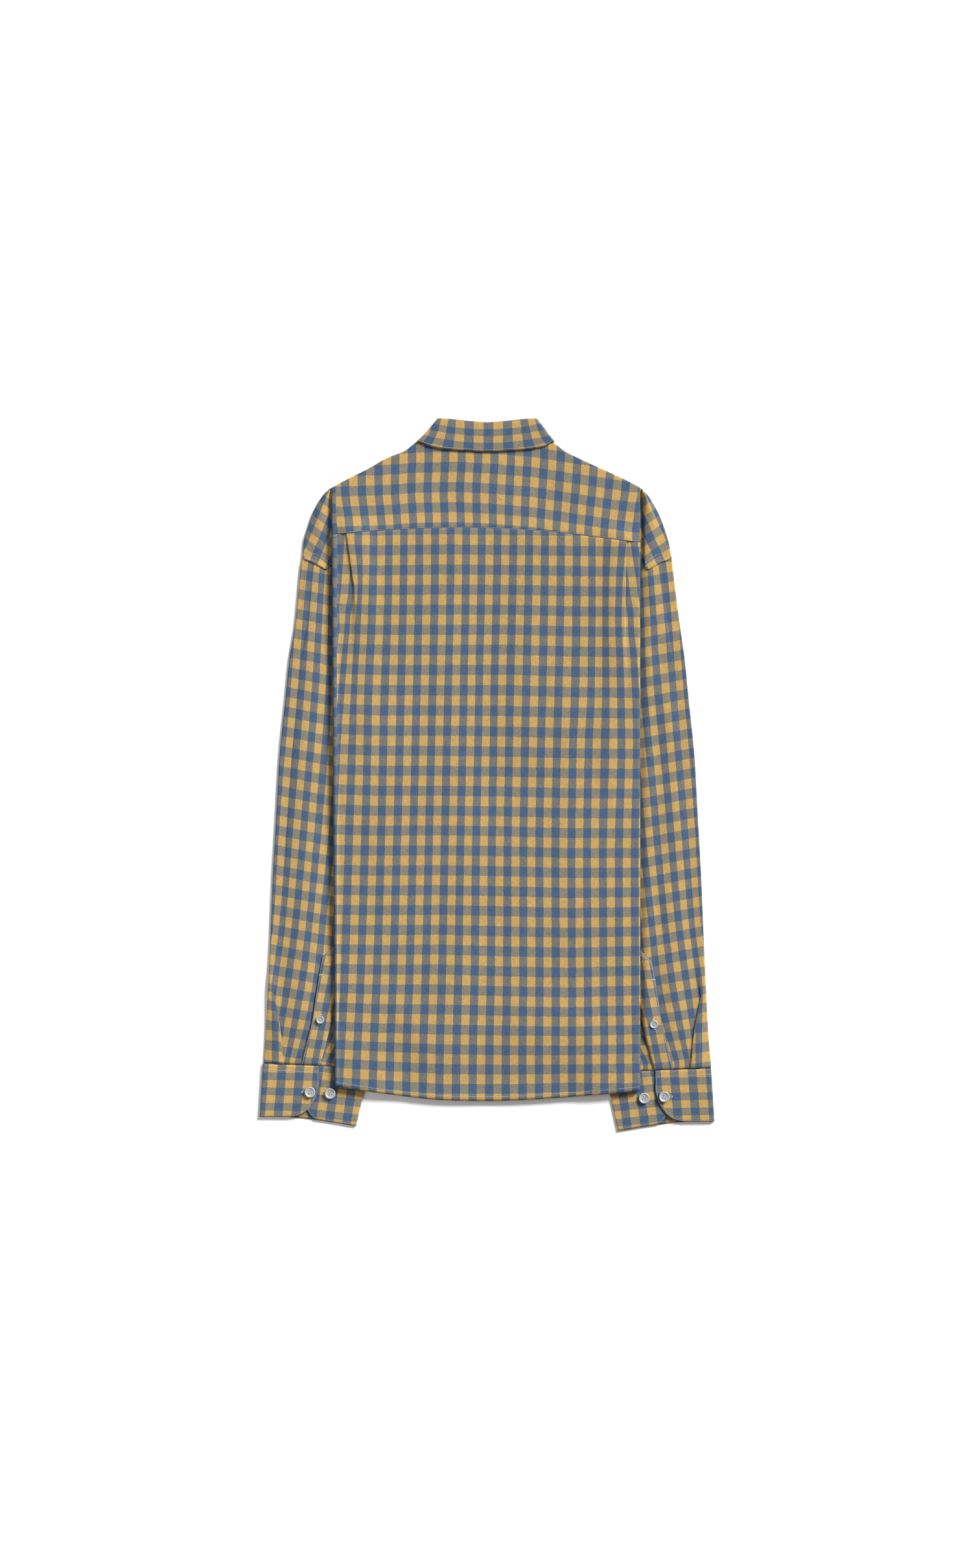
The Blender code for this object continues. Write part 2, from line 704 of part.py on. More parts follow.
def make_sleeve(side, name, finish):
    stops = (SLEEVE_LENGTH[side], 530, 470, 400, 330, 265, 205, 160, 130, 113, 101, 92, 82, 62, 40, 20, 0)
    cloth(name, [[sleeve_row(side, above, above >= -SLIT_TOP) for above in stops]], WALL, finish)


def make_placket(side, name, finish):
    """Placket over the slit, with a pointed top: the sleeve's own surface moved out."""
    lift = WALL / 2 + PLACKET_CLEARANCE + PLACKET_WALL / 2
    downs = (-124, -101, -74, -51, -25, 0)
    rows = []
    for down in downs:
        left, right = read(PLACKET, "stitched", "down", down), read(PLACKET, "free", "down", down)
        row = []
        for t in (0, 0.33, 0.67, 1):
            inward = mix(left, right, t)
            across, y = from_cuff(side, inward, down + CUFF_SLOPE * inward)
            row.append(place(side, across, y + SEAM, sleeve_height(side, across, y) + lift))
        rows.append(row)
    tip_in, tip_down = PLACKET_POINT
    tip_across, tip_y = from_cuff(side, tip_in, tip_down)
    tip = place(side, tip_across, tip_y, sleeve_height(side, tip_across, tip_y) + lift)
    cloth(name, [[[tip] * 4] + rows], PLACKET_WALL, finish)


# Cuffs


def cuff_columns(side):
    """Top and bottom point of each station along the strip, from its free end under to its other end."""

    def stations(rows):
        return [tuple(rows[name][i] for name in rows) for i in range(len(rows["top_in"]))]

    def turn(fold, start, end, way):
        (top_in, top_down), (low_in, low_down) = fold
        radius = abs(start - end) / 2
        found = []
        for offset, z in half_turn(0, start, end, 1):
            shift = way * (offset - radius)
            found.append((top_in + shift, top_down, low_in + shift, low_down, z))
        return found

    strip = stations(CUFF_FLAP)
    strip += turn(CUFF_OUTER_FOLD, CUFF_FLAP["height"][-1], CUFF_UNDER["height"][0], -1)
    strip += stations(CUFF_UNDER)
    strip += turn(CUFF_INNER_FOLD, CUFF_UNDER["height"][-1], CUFF_END["height"][0], 1)
    strip += stations(CUFF_END)
    return strip


def make_cuff(side, name, finish):
    grid = []
    for k in range(CUFF_ROWS + 1):
        t = k / CUFF_ROWS
        row = []
        for top_in, top_down, low_in, low_down, height in cuff_columns(side):
            across, y = from_cuff(side, mix(top_in, low_in, t), mix(top_down, low_down, t))
            row.append(place(side, across, y, height))
        grid.append(row)
    cloth(name, [grid], FIRM_WALL, finish)


# Collar


def collar_stations(side):
    """Half of the collar from centre back to centre front: top and low point of the leaf and its height,
    then the same of the stand inside it."""
    found = []
    for i in range(len(LEAF_BACK["top_x"])):
        top = (LEAF_BACK["top_x"][i], LEAF_BACK["top_y"][i])
        low = (LEAF_BACK["low_x"][i], LEAF_BACK["low_y"][i])
        neck = (STAND_BACK["low_x"][i], STAND_BACK["low_y"][i])
        found.append((top, low, LEAF_BACK_HEIGHT, top, neck, STAND_BACK_HEIGHT))
    leaf_radius = (LEAF_BACK_HEIGHT - LEAF_FRONT_HEIGHT) / 2
    stand_radius = (STAND_BACK_HEIGHT - STAND_FRONT_HEIGHT) / 2
    (top_x, top_y), (low_x, low_y) = LEAF_FOLD
    leaf_turn = half_turn(-leaf_radius, LEAF_BACK_HEIGHT, LEAF_FRONT_HEIGHT, 1, 6)
    stand_turn = half_turn(-leaf_radius, STAND_BACK_HEIGHT, STAND_FRONT_HEIGHT, 1, 6)
    for (leaf_in, leaf_z), (stand_in, stand_z) in zip(leaf_turn, stand_turn):
        neck = (STAND_FOLD[0] + stand_in + leaf_radius - stand_radius, STAND_FOLD[1])
        stand_top = (top_x + stand_in, top_y)
        found.append(((top_x + leaf_in, top_y), (low_x + leaf_in, low_y), leaf_z, stand_top, neck, stand_z))
    for i in range(len(LEAF_FRONT["top_x"])):
        top = (LEAF_FRONT["top_x"][i], LEAF_FRONT["top_y"][i])
        low = (LEAF_FRONT["low_x"][i], LEAF_FRONT["low_y"][i])
        neck = (STAND_FRONT["low_x"][i], STAND_FRONT["low_y"][i])
        centre = 1 - ease((neck[0] - CENTRE_HALF_WIDTH) / CENTRE_CLIMB)
        height = mix(STAND_FRONT["height"][i], CENTRE_HEIGHT[side], centre)
        found.append((top, low, LEAF_FRONT_HEIGHT, top, neck, height))
    return found


def along(start, end, share):
    return tuple(mix(a, b, share) for a, b in zip(start, end))


def roll(leaf_low, leaf_top, leaf_z, stand_top, stand_z):
    """Direction up the leaf, and how far its top edge rolls over to the stand."""
    size = math.dist(leaf_low, leaf_top)
    up = tuple((a - b) / size for a, b in zip(leaf_top, leaf_low))
    return up, min(math.dist((*leaf_top, leaf_z), (*stand_top, stand_z)) / 2, 1.4)


def make_collar_leaf(finish):
    """The leaf, rolled over at the top towards the stand along the back and along each front."""
    columns, rolls = [], []
    for side in (LEFT, RIGHT):
        half, rolled = [], []
        for top, low, height, stand_top, _, stand_z in collar_stations(side):
            up, reach = roll(low, top, height, stand_top, stand_z)
            shoulder = (top[0] - up[0] * reach, top[1] - up[1] * reach)
            column = [(*along(low, shoulder, k / COLLAR_ROWS), height) for k in range(COLLAR_ROWS + 1)]
            over = column[-1:]
            for k in (1, 2, 3, 4):
                across, rise = (1 - math.cos(math.pi * k / 4)) / 2, reach * (math.sin(math.pi * k / 4) - 1)
                x, y = along(top, stand_top, across)
                over.append((x + up[0] * rise, y + up[1] * rise, mix(height, stand_z, across)))
            half.append([place(side, *point) for point in column])
            rolled.append([place(side, *point) for point in over])
        back = len(LEAF_BACK["top_x"])
        rolls += [rolled[:back], rolled[-len(LEAF_FRONT["top_x"]):]]
        columns += half[::-1] if side == LEFT else half[1:]
    cloth("collar_leaf", [columns] + rolls, FIRM_WALL, finish)


def make_collar_stand(finish):
    """The stand, a band inside the leaf whose left end lies under the right one at the centre front."""
    columns = []
    for side in (LEFT, RIGHT):
        half = []
        for leaf_top, leaf_low, leaf_z, top, low, height in collar_stations(side):
            up, reach = roll(leaf_low, leaf_top, leaf_z, top, height)
            end = (top[0] - up[0] * (reach + 2 * SEAM), top[1] - up[1] * (reach + 2 * SEAM))
            half.append([(*along(low, end, k / COLLAR_ROWS), height) for k in range(COLLAR_ROWS + 1)])
        for i in range(len(STAND_END["low_x"])):
            low = (STAND_END["low_x"][i], front_top(STAND_END["low_x"][i]) + 2 * SEAM)
            top = (STAND_END["top_x"][i], STAND_END["top_y"][i])
            shares = [k / COLLAR_ROWS for k in range(COLLAR_ROWS + 1)]
            half.append([(*along(low, top, share), CENTRE_HEIGHT[side]) for share in shares])
        half = [[place(side, *point) for point in column] for column in half]
        columns += half[::-1] if side == LEFT else half[1:]
    cloth("collar_stand", [columns], FIRM_WALL, finish)


# Buttons


def make_button(name, across, y, base, radius, height, rimmed, finish):
    """A turned disc. One that shows has a rounded rim round a shallow well."""
    if rimmed:
        profile = ((radius - 0.5, 0), (radius, 0.5), (radius, height - 0.5), (radius - 0.5, height),
                   (radius - 1.2, height), (radius - 1.8, height - 0.6))
    else:
        profile = ((radius, 0), (radius, height))
    sides = 16 if rimmed else 12
    shape = bmesh.new()
    rings = []
    for r, z in profile:
        ring = []
        for k in range(sides):
            angle = 2 * math.pi * k / sides
            ring.append(shape.verts.new((r * math.cos(angle) * MM, r * math.sin(angle) * MM, z * MM)))
        rings.append(ring)
    for low, high in zip(rings, rings[1:]):
        for k in range(sides):
            following = (k + 1) % sides
            shape.faces.new((low[k], low[following], high[following], high[k]))
    shape.faces.new(rings[0][::-1])
    shape.faces.new(rings[-1])
    mesh = bpy.data.meshes.new(name)
    shape.to_mesh(mesh)
    shape.free()
    made = add_object(name, mesh, finish)
    made.location = (across * MM, y * MM, base * MM)


def make_buttons(finish):
    for side, word in SIDES:
        for use, (inward, down) in CUFF_BUTTONS.items():
            across, y = from_cuff(side, inward, down)
            layer = CUFF_FLAP["height"][0] if use == "fastened" else CUFF_END["height"][0]
            base = layer + FIRM_WALL / 2 + SEAM
            name = f"cuff_button_{use}_{word}"
            make_button(name, side * across, y, base, BUTTON_RADIUS, BUTTON_HEIGHT, True, finish)
        across, y = from_cuff(side, *PLACKET_BUTTON)
        base = sleeve_height(side, across, y) + WALL / 2 + 2 * PLACKET_CLEARANCE + PLACKET_WALL
        name = f"placket_button_{word}"
        make_button(name, side * across, y, base, SMALL_BUTTON_RADIUS, SMALL_BUTTON_HEIGHT, True, finish)
    places = [COLLAR_BUTTON_Y] + [FRONT_BUTTON_TOP - FRONT_BUTTON_PITCH * k for k in range(FRONT_BUTTONS)]
    for number, y in enumerate(places):
        name = f"front_button_{number}" if number else "collar_button"
        make_button(name, 0, y, 0, HIDDEN_BUTTON_RADIUS, HIDDEN_BUTTON_HEIGHT, False, finish)


def main():
    for old in list(bpy.data.objects):
        bpy.data.objects.remove(old, do_unlink=True)
    bpy.context.scene.collection.objects.link(bpy.data.objects.new("shirt", None))
    gingham = (CLOTH_COLOUR, 0.85)
    button = (BUTTON_COLOUR, 0.35)
    make_back(gingham)
    make_yoke(gingham)
    for side, word in SIDES:
        make_shoulder_end(side, f"shoulder_end_{word}", gingham)
        make_front(side, f"front_{word}", gingham)
        make_sleeve(side, f"sleeve_{word}", gingham)
        make_placket(side, f"sleeve_placket_{word}", gingham)
        make_cuff(side, f"cuff_{word}", gingham)
    make_collar_leaf(gingham)
    make_collar_stand(gingham)
    make_buttons(button)


main()
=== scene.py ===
# A long-sleeved linen shirt in blue and ochre gingham, laid flat with its back up.
# It is sewn up here from the same measures as its solids: lengths are millimetres until a mesh is made,
# x runs across the shirt, y up to the collar and z up from the floor. Across means out from the centre back.

import math
import random

import bmesh
import bpy
import numpy as np
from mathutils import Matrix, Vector
from mathutils.bvhtree import BVHTree


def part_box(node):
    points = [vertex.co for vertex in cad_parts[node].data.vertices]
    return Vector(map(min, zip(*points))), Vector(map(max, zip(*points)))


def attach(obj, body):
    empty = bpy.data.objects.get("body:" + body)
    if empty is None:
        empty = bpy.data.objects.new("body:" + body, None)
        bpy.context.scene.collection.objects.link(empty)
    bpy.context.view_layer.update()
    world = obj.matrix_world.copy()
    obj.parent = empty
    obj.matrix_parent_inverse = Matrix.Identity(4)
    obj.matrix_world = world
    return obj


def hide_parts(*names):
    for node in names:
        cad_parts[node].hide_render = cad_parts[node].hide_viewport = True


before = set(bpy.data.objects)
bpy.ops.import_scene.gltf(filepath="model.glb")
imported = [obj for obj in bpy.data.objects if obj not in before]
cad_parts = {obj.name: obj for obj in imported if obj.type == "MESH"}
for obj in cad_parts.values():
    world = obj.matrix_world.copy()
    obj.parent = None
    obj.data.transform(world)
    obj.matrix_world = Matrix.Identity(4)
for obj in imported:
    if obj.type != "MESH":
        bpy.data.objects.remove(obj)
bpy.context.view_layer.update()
print("frame loaded")

mm = 0.001
pixel = 0.74  # mm, the scale of the photo
left, right = -1, 1
sides = {left: "left", right: "right"}

cloth = {
    "shell": 0.5,  # the linen as it shows, thinner than the solids' wall
    "firmShell": 0.7,  # collar and cuffs, two cloths and an interlining
    "wall": 1.0,
    "placketWall": 0.8,
    "layer": 1.4,  # from one cloth to the next one lying on it
    "tuck": 4.0,  # how far a cloth reaches under the one it is sewn to
    "step": 3.1,  # between the points of a mesh
    "weld": 2e5,  # places in a metre; points in the same place are joined
}
layer = cloth["layer"]
floorCloth = cloth["wall"] / 2
sleeveTop = floorCloth + layer


def table(names, rows):
    return dict(zip(names.split(), np.array(rows, float).T))


def ease(t):
    t = np.clip(t, 0.0, 1.0)
    return t * t * (3 - 2 * t)


def mix(a, b, t):
    return a + (b - a) * t


def smooth(known, wanted, value):
    # a smooth curve through the points that never overshoots them
    order = np.argsort(known)
    x, y = np.array(known, float)[order], np.array(wanted, float)[order]
    value = np.clip(value, x[0], x[-1])
    rise = np.diff(y) / np.diff(x)
    slope = np.concatenate([rise[:1], np.zeros(len(x) - 2), rise[-1:]])
    bend = rise[:-1] * rise[1:]
    slope[1:-1] = np.where(bend > 0, 2 * bend / np.where(bend > 0, rise[:-1] + rise[1:], 1), 0)
    i = np.clip(np.searchsorted(x, value, "right") - 1, 0, len(x) - 2)
    width = x[i + 1] - x[i]
    t = (value - x[i]) / width
    start = (1 + 2 * t) * (1 - t) ** 2 * y[i] + t * (1 - t) ** 2 * width * slope[i]
    return start + t * t * (3 - 2 * t) * y[i + 1] + t * t * (t - 1) * width * slope[i + 1]


def curve(rows, wanted, known, value):
    return smooth(rows[known], rows[wanted], value)


def spread(length, step=None):
    # shares from 0 to 1, about one step of cloth apart
    return np.linspace(0, 1, max(math.ceil(length / (step or cloth["step"])), 1) + 1)


def lengthAlong(x, y):
    return np.concatenate([[0], np.cumsum(np.hypot(np.diff(x), np.diff(y)))])


def patchOf(rows):
    # rows of x, y and z, and perhaps u and v, to one patch of cloth
    return {key: np.array(values) for key, values in zip("xyzuv", zip(*rows))}


def bothHalves(halves, middle):
    # a row across the shirt from its left half, the middle point and its right half
    return [np.concatenate([a[::-1], [point], b]) for a, point, b in zip(halves[0], middle, halves[1])]


layers = table("y back front turn", (
    (262, 8.6, 7.2, 4.4), (276, 8.2, 6.3, 4.3), (294, 7.0, 4.4, 4.0), (325, 5.6, 3.6, 3.6),
    (366, 4.6, 2.6, 2.6)))

outline = table("y left right", (
    (325, 182.0, 178.3), (319, 187.2, 183.5), (307, 194.6, 190.9), (296, 199.8, 196.8), (284, 203.8, 201.3),
    (266, 209.0, 207.0), (254, 210.0, 209.4), (247, 210.7, 210.7), (238, 212.5, 211.6), (219, 214.4, 213.9),
    (174, 218.6, 219.5), (130, 225.7, 225.7), (85, 230.1, 230.1), (19, 236.8, 236.8), (-48, 240.5, 240.5),
    (-114, 244.2, 244.2), (-203, 247.9, 247.9), (-248, 250.1, 250.1), (-292, 252.3, 252.3),
    (-336, 255.2, 255.7)))

sideFolds = table("y left right", ((-356, 173.3, 174.3), (300, 177.2, 174.3)))

shoulderLine = table("y left right", (
    (379.2, 74.5, 74.5), (375.0, 85.5, 80.5), (369.5, 93.3, 87.4), (360.8, 114.7, 104.3),
    (348.9, 135.4, 130.2), (337.0, 159.1, 156.1), (327.4, 177.2, 174.3)))

yokeSeam = table("across y", (
    (-205, 272.0), (-171, 274.5), (-117, 278.8), (-27, 281.6), (30, 279.5), (84, 275.9), (131, 270.2),
    (173, 264.9), (205, 261.0)))

hemLine = table("across y", (
    (-305, -322.0), (-240, -342.0), (-173, -355.6), (-121, -363.7), (-45, -371.9), (0, -372.7), (48, -371.1),
    (120, -365.9), (173, -361.1), (240, -350.0), (305, -330.0)))

backNeck = table("across y", ((0, 373.7), (20, 374.2), (40, 375.4), (60, 377.4), (74.5, 379.2)))

armhole = table("across y", (
    (45, 82), (70, 118), (110, 170), (145, 212), (168, 231.5), (180, 239.5), (189, 243.9), (198, 246.0),
    (210, 247)))

sleeveInner = table("y across", ((-334, 134.5), (-150, 98.0), (0, 62.0), (82, 45.0)))


body = {
    "length": 630.0,  # of the back, from the yoke's seam to the hem
    "turnedUnder": 130.0,  # width of the side that is turned under
    "shoulderTip": 325.0,  # where that width runs out
    "underarm": 82.0,
    "sag": 0.8,
    "sagHalfWidth": 42.0,
    "neckSide": (70.0, 338.0),
    "frontNeckLow": 270.0,
    "frontYokeEnd": (142.0, 292.5),
    "yokeTurnEnd": (144.0, 294.0),
    "frontTurnTop": 252.0,
    "frontHemRise": 4.0,
    "hemDroop": 2.6,
    "hemDroopWidth": 90.0,
    "frontOverlap": 16.0,
    "centreHeight": {left: 3.0, right: 4.4},  # one front laps over the other
    "centreHalfWidth": 19.0,
    "centreClimb": 24.0,
}

backPleats = {
    left: {"top": 160.4, "foot": 152.0, "overlap": 10.0, "length": 60.0},
    right: {"top": 158.8, "foot": 157.4, "overlap": 7.0, "length": 88.0},
}
pleatApproach = 18.0
pleatStep = 1.9  # height of a pressed pleat's fold above the cloth it lies on

sleeveFacts = {
    "corner": {left: (255.6, -330.0), right: (255.6, -335.3)},  # outer top corner of the cuff
    "cuffSlope": 0.044,
    "cuffWidth": 121.0,
    "pleatOverlap": 8.0,
    "pleatTop": 106.0,  # above the cuff
    "pleatOpens": 84.0,
    "slitTop": 101.0,
    "armholeFades": 0.4,  # part of the length over which the rows lose the armhole's curve
    "slitFromStitching": 3.0,
    "edgeRise": 0.9,  # the outer edge is a soft roll, not a pressed fold
    "edgeWidth": 16.0,
    "besideBody": {left: 0.0, right: 3.0},  # fullness pushed up beside the body's fold
    "besideWidth": 4.5,
}
sleeveLength = {side: 246.5 - sleeveFacts["corner"][side][1] for side in sides}
sleevePleats = table("down inward", ((-106, 6.8), (-68, 14.7), (-36, 20.2), (0, 22.8)))
plackets = table("down stitched free", (
    (-124, 67.3, 92.5), (-101, 63.3, 89.0), (-74, 59.0, 81.7), (-51, 55.6, 77.5), (-25, 49.2, 71.5),
    (0, 42.8, 65.0)))
placketPoint = (80.0, -133.4)
placketClearance = 0.6

cuffNames = "topIn topDown lowIn lowDown height"
cuffFlap = table(cuffNames, (
    (63.6, 2.8, 63.6, 23.4, 3.6), (61.6, 2.7, 61.6, 34.8, 3.6), (57.2, 2.5, 57.2, 44.2, 3.6),
    (50.2, 2.2, 50.2, 53.4, 3.6), (40.3, 1.8, 40.3, 59.6, 3.6), (30.8, 1.4, 30.8, 61.0, 3.4),
    (16.0, 0.7, 14.0, 61.0, 3.2)))
cuffUnder = table(cuffNames, (
    (20.0, 0.9, 18.0, 61.0, 0.6), (50.0, 2.2, 46.0, 62.6, 0.6), (85.0, 3.7, 78.0, 67.3, 0.6)))
cuffEnd = table(cuffNames, (
    (85.0, 3.7, 78.0, 66.9, 2.1), (62.0, 2.7, 59.5, 64.2, 2.1), (55.0, 2.4, 53.1, 58.5, 2.1),
    (51.0, 2.2, 50.6, 54.2, 2.1), (48.0, 2.1, 48.0, 44.0, 2.1)))
cuffOuterFold = ((0.0, 0.0), (-3.8, 61.0))
cuffInnerFold = ((120.6, 5.2), (105.8, 71.6))

leafBack = table("topX topY lowX lowY", (
    (0, 402.0, 0, 368.6), (20, 403.4, 25, 369.8), (38, 405.4, 50, 371.6), (49, 406.3, 68, 375.4)))
leafFront = table("topX topY lowX lowY", (
    (50, 392, 84, 362), (45, 372, 86, 338), (36, 350, 83, 312), (25, 327, 74, 283), (14, 309, 62, 258),
    (7, 300, 50, 242)))
leafFold = {left: ((56.4, 406.6), (80.4, 380.2)), right: ((56.6, 406.6), (77.2, 380.0))}
leafTail = {left: (54, 401, 88.6, 373.8), right: (54, 401, 82.2, 373.2)}  # its front, just past the fold
standBack = table("lowX lowY", ((0, 374.3), (20, 374.8), (40, 376.0), (58, 378.2)))
standFront = table("lowX lowY height", (
    (71.6, 362, 2.7), (69.0, 338.6, 3.1), (56, 312.2, 3.5), (43, 293.9, 3.9), (31, 281.6, 3.8),
    (19, 274.4, 3.8)))
standEnd = table("lowX topX topY", ((8, 7, 298.5), (-5, -5, 295.0), (-15, -15, 288.0)))
collar = {"leafBack": 6.4, "leafFront": 0.6, "standBack": 4.6, "standFront": 2.6, "standFold": (73.6, 381.5)}


check = {"width": 17.6, "height": 22.94}  # one blue and one ochre stripe, mm

warpY = (266.8, 220.9, 176.5, 130.6, 87.0, 37.4, -95.8, -229.0, -317.8, -362.2)
warpLines = {
    22: (-173.4, -167.0, -165.2, -169.5, -174.3, -180.2, -186.1, -189.5, -194.5, -199.0),
    23: (-155.8, -150.2, -153.2, -156.6, -159.5, -162.5, -167.6, -171.6, -176.5, -179.6),
    24: (-138.2, -139.3, -140.6, -143.0, -144.8, -145.2, -149.1, -153.3, -157.7, -160.0),
    25: (-120.5, -121.0, -122.4, -124.5, -126.4, -127.5, -130.6, -135.0, -138.9, -140.3),
    27: (-86.3, -86.8, -87.5, -88.4, -89.4, -90.5, -94.1, -97.8, -101.2, -101.7),
    29: (-50.3, -50.6, -51.3, -52.3, -53.5, -54.7, -57.7, -60.8, -63.5, -64.0),
    31: (-15.0, -15.5, -16.2, -17.4, -18.0, -19.0, -21.8, -23.5, -25.6, -26.1),
    33: (21.0, 20.1, 18.9, 17.7, 16.7, 16.1, 14.3, 13.6, 12.0, 11.9),
    35: (56.9, 56.6, 55.6, 54.6, 53.6, 52.4, 50.4, 50.5, 49.7, 50.0),
    37: (93.2, 93.0, 92.3, 91.6, 90.5, 89.0, 87.1, 87.7, 87.6, 87.7),
    38: (111.3, 111.3, 111.2, 110.6, 109.9, 107.0, 105.1, 105.9, 106.2, 106.2),
    39: (127.9, 127.9, 127.9, 127.4, 126.9, 125.0, 122.9, 123.8, 124.6, 124.6),
    40: (146.2, 143.0, 142.2, 143.2, 143.9, 144.3, 141.0, 141.8, 142.8, 142.9),
    41: (163.2, 158.7, 157.2, 159.7, 161.3, 162.1, 159.4, 159.9, 160.9, 161.1),
    42: (180.8, 172.5, 170.6, 175.0, 178.0, 179.4, 177.4, 177.8, 178.7, 179.0),
}
sideWarpLines = {  # outside each pleat, as far down as its foot
    left: (22, (-158.4, -161.7, -165.2)),
    right: (42, (158.7, 165.8, 170.6)),
}
weftX = (-163.9, -126.9, -52.9, 21.1, 95.1, 169.1)
weftDrift = {
    259.4: (0.70, 0.64, 0.70, 0.67, 0.63, 0.58),
    126.2: (0.76, 0.71, 0.70, 0.72, 0.62, 0.58),
    37.4: (0.76, 0.69, 0.68, 0.64, 0.56, 0.53),
    -95.8: (0.75, 0.72, 0.74, 0.69, 0.60, 0.61),
    -229.0: (0.85, 0.80, 0.81, 0.71, 0.65, 0.75),
    -273.4: (0.93, 0.86, 0.82, 0.75, 0.69, 0.78),
    -317.8: (1.09, 0.99, 0.84, 0.79, 0.79, 0.87),
    -362.2: (1.20, 1.10, 0.86, 0.86, 0.96, 0.91),
}


def grid(rows, columnAt, x, y):
    # a value between the rows and columns of a table, straight across and rounded down the cloth
    columns = np.array([smooth(list(rows), column, y) for column in zip(*rows.values())])
    columnAt = np.array(columnAt, float)
    i = np.clip(np.searchsorted(columnAt, x) - 1, 0, len(columnAt) - 2)
    t = (x - columnAt[i]) / (columnAt[i + 1] - columnAt[i])
    low = np.take_along_axis(columns, i[None], 0)[0]
    high = np.take_along_axis(columns, (i + 1)[None], 0)[0]
    return mix(low, high, np.clip(t, -1.5, 2.5))


def acrossLines(lines, lineY, x, y):
    # number of the warp line at a point, between the lines and straight on past the last ones
    numbers = sorted(lines)
    places = [smooth(lineY, lines[number], y) for number in numbers]
    found = numbers[0] + (x - places[0]) / (places[1] - places[0]) * (numbers[1] - numbers[0])
    for i in range(len(numbers) - 1):
        t = (x - places[i]) / (places[i + 1] - places[i])
        found = np.where(t >= 0, mix(numbers[i], numbers[i + 1], t), found)
    return found


def backWarp(x, y):
    return acrossLines(warpLines, warpY, x, y)


def sideWarp(side, x, y):
    number, places = sideWarpLines[side]
    beside = number + (x - smooth(warpY[:3], places, y)) / (check["width"] * 0.98)
    return mix(backWarp(x, y), beside, ease((y - 176.5) / 30))


def backWeft(x, y):
    return -y / check["height"] + grid(weftDrift, weftX, x, y)


def latticeWeave(x, y, origin, over, down):
    # over and down are the steps from one ochre check to the next
    det = over[0] * down[1] - over[1] * down[0]
    px, py = x - origin[0], y - origin[1]
    return (px * down[1] - py * down[0]) / det, (py * over[0] - px * over[1]) / det


def pressed(creases, x, y):
    # each crease: start x, start y, end x, end y, height, width, bow
    total = np.zeros(np.shape(x))
    for x0, y0, x1, y1, height, width, bow in creases:
        length = math.hypot(x1 - x0, y1 - y0)
        alongX, alongY = (x1 - x0) / length, (y1 - y0) / length
        t = ((x - x0) * alongX + (y - y0) * alongY) / length
        off = (x - x0) * -alongY + (y - y0) * alongX - bow * 4 * t * (1 - t)
        fade = ease(t / 0.3) * ease((1 - t) / 0.4)
        total = total + height * fade * np.exp(-((off / width) ** 2))
    return total


def linear(hexColour):
    # sRGB hex to the linear colour that a shader wants
    found = []
    for i in (0, 2, 4):
        value = int(hexColour[i:i + 2], 16) / 255
        found.append(value / 12.92 if value <= 0.04045 else ((value + 0.055) / 1.055) ** 2.4)
    return (*found, 1.0)


def makeMesh(name, points, faces):
    mesh = bpy.data.meshes.new(name)
    mesh.from_pydata([tuple(map(float, point)) for point in points], [], faces)
    mesh.update()
    return mesh


def faceOut(mesh):
    shape = bmesh.new()
    shape.from_mesh(mesh)
    bmesh.ops.recalc_face_normals(shape, faces=shape.faces)
    shape.to_mesh(mesh)
    shape.free()


def addObject(name, data):
    made = bpy.data.objects.new(name, data)
    bpy.context.scene.collection.objects.link(made)
    return made


def addPiece(name, mesh, material):
    mesh.polygons.foreach_set("use_smooth", [True] * len(mesh.polygons))
    mesh.materials.append(material)
    made = addObject(name, mesh)
    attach(made, "root")
    return made


def sew(name, patches, shell):
    # patches hold arrays x, y, z, u, v in rows and columns; welded together they become one cloth
    points, faces, marks = [], [], []
    start = 0
    for patch in patches:
        rows, columns = patch["x"].shape
        points.append(np.stack([patch[key] for key in "xyz"], -1).reshape(-1, 3) * mm)
        marks.append(np.stack([patch[key] for key in "uv"], -1).reshape(-1, 2))
        at = np.arange(rows * columns).reshape(rows, columns) + start
        quads = np.stack([at[:-1, :-1], at[:-1, 1:], at[1:, 1:], at[1:, :-1]], -1).reshape(-1, 4)
        faces.append(quads[:, ::-1] if patch.get("flip") else quads)
        start += rows * columns
    points, marks = np.concatenate(points), np.concatenate(marks)
    firsts = {}
    places = np.round(points * cloth["weld"]).astype(int)
    welded = [firsts.setdefault(tuple(place), i) for i, place in enumerate(places)]
    rings = []
    for face in np.concatenate(faces):
        ring = {}
        for corner in face:
            ring.setdefault(welded[corner], corner)
        if len(ring) > 2:
            rings.append(ring)
    used = sorted({i for ring in rings for i in ring})
    number = {old: new for new, old in enumerate(used)}
    mesh = makeMesh(name, points[used], [[number[i] for i in ring] for ring in rings])
    made = addPiece(name, mesh, linen)
    weave = np.array([marks[corner] for ring in rings for corner in ring.values()])
    mesh.uv_layers.new(name="weave").data.foreach_set("uv", weave.ravel())
    faceOut(mesh)
    thick = made.modifiers.new("cloth", "SOLIDIFY")
    thick.thickness = shell * mm
    thick.offset = 0
    thick.use_even_offset = False
    thick.use_quality_normals = True
    return made


def outerAt(side, y):
    return curve(outline, sides[side], "y", y)


def foldAt(side, y):
    return curve(sideFolds, sides[side], "y", y)


def seamY(across):
    return curve(yokeSeam, "y", "across", across)


def hemY(across):
    return curve(hemLine, "y", "across", across)


def backHeight(x, y):
    slack = (1 - ease(np.abs(x) / body["sagHalfWidth"])) * (1 - ease((y - 250) / 70))
    return curve(layers, "back", "y", y) - body["sag"] * slack


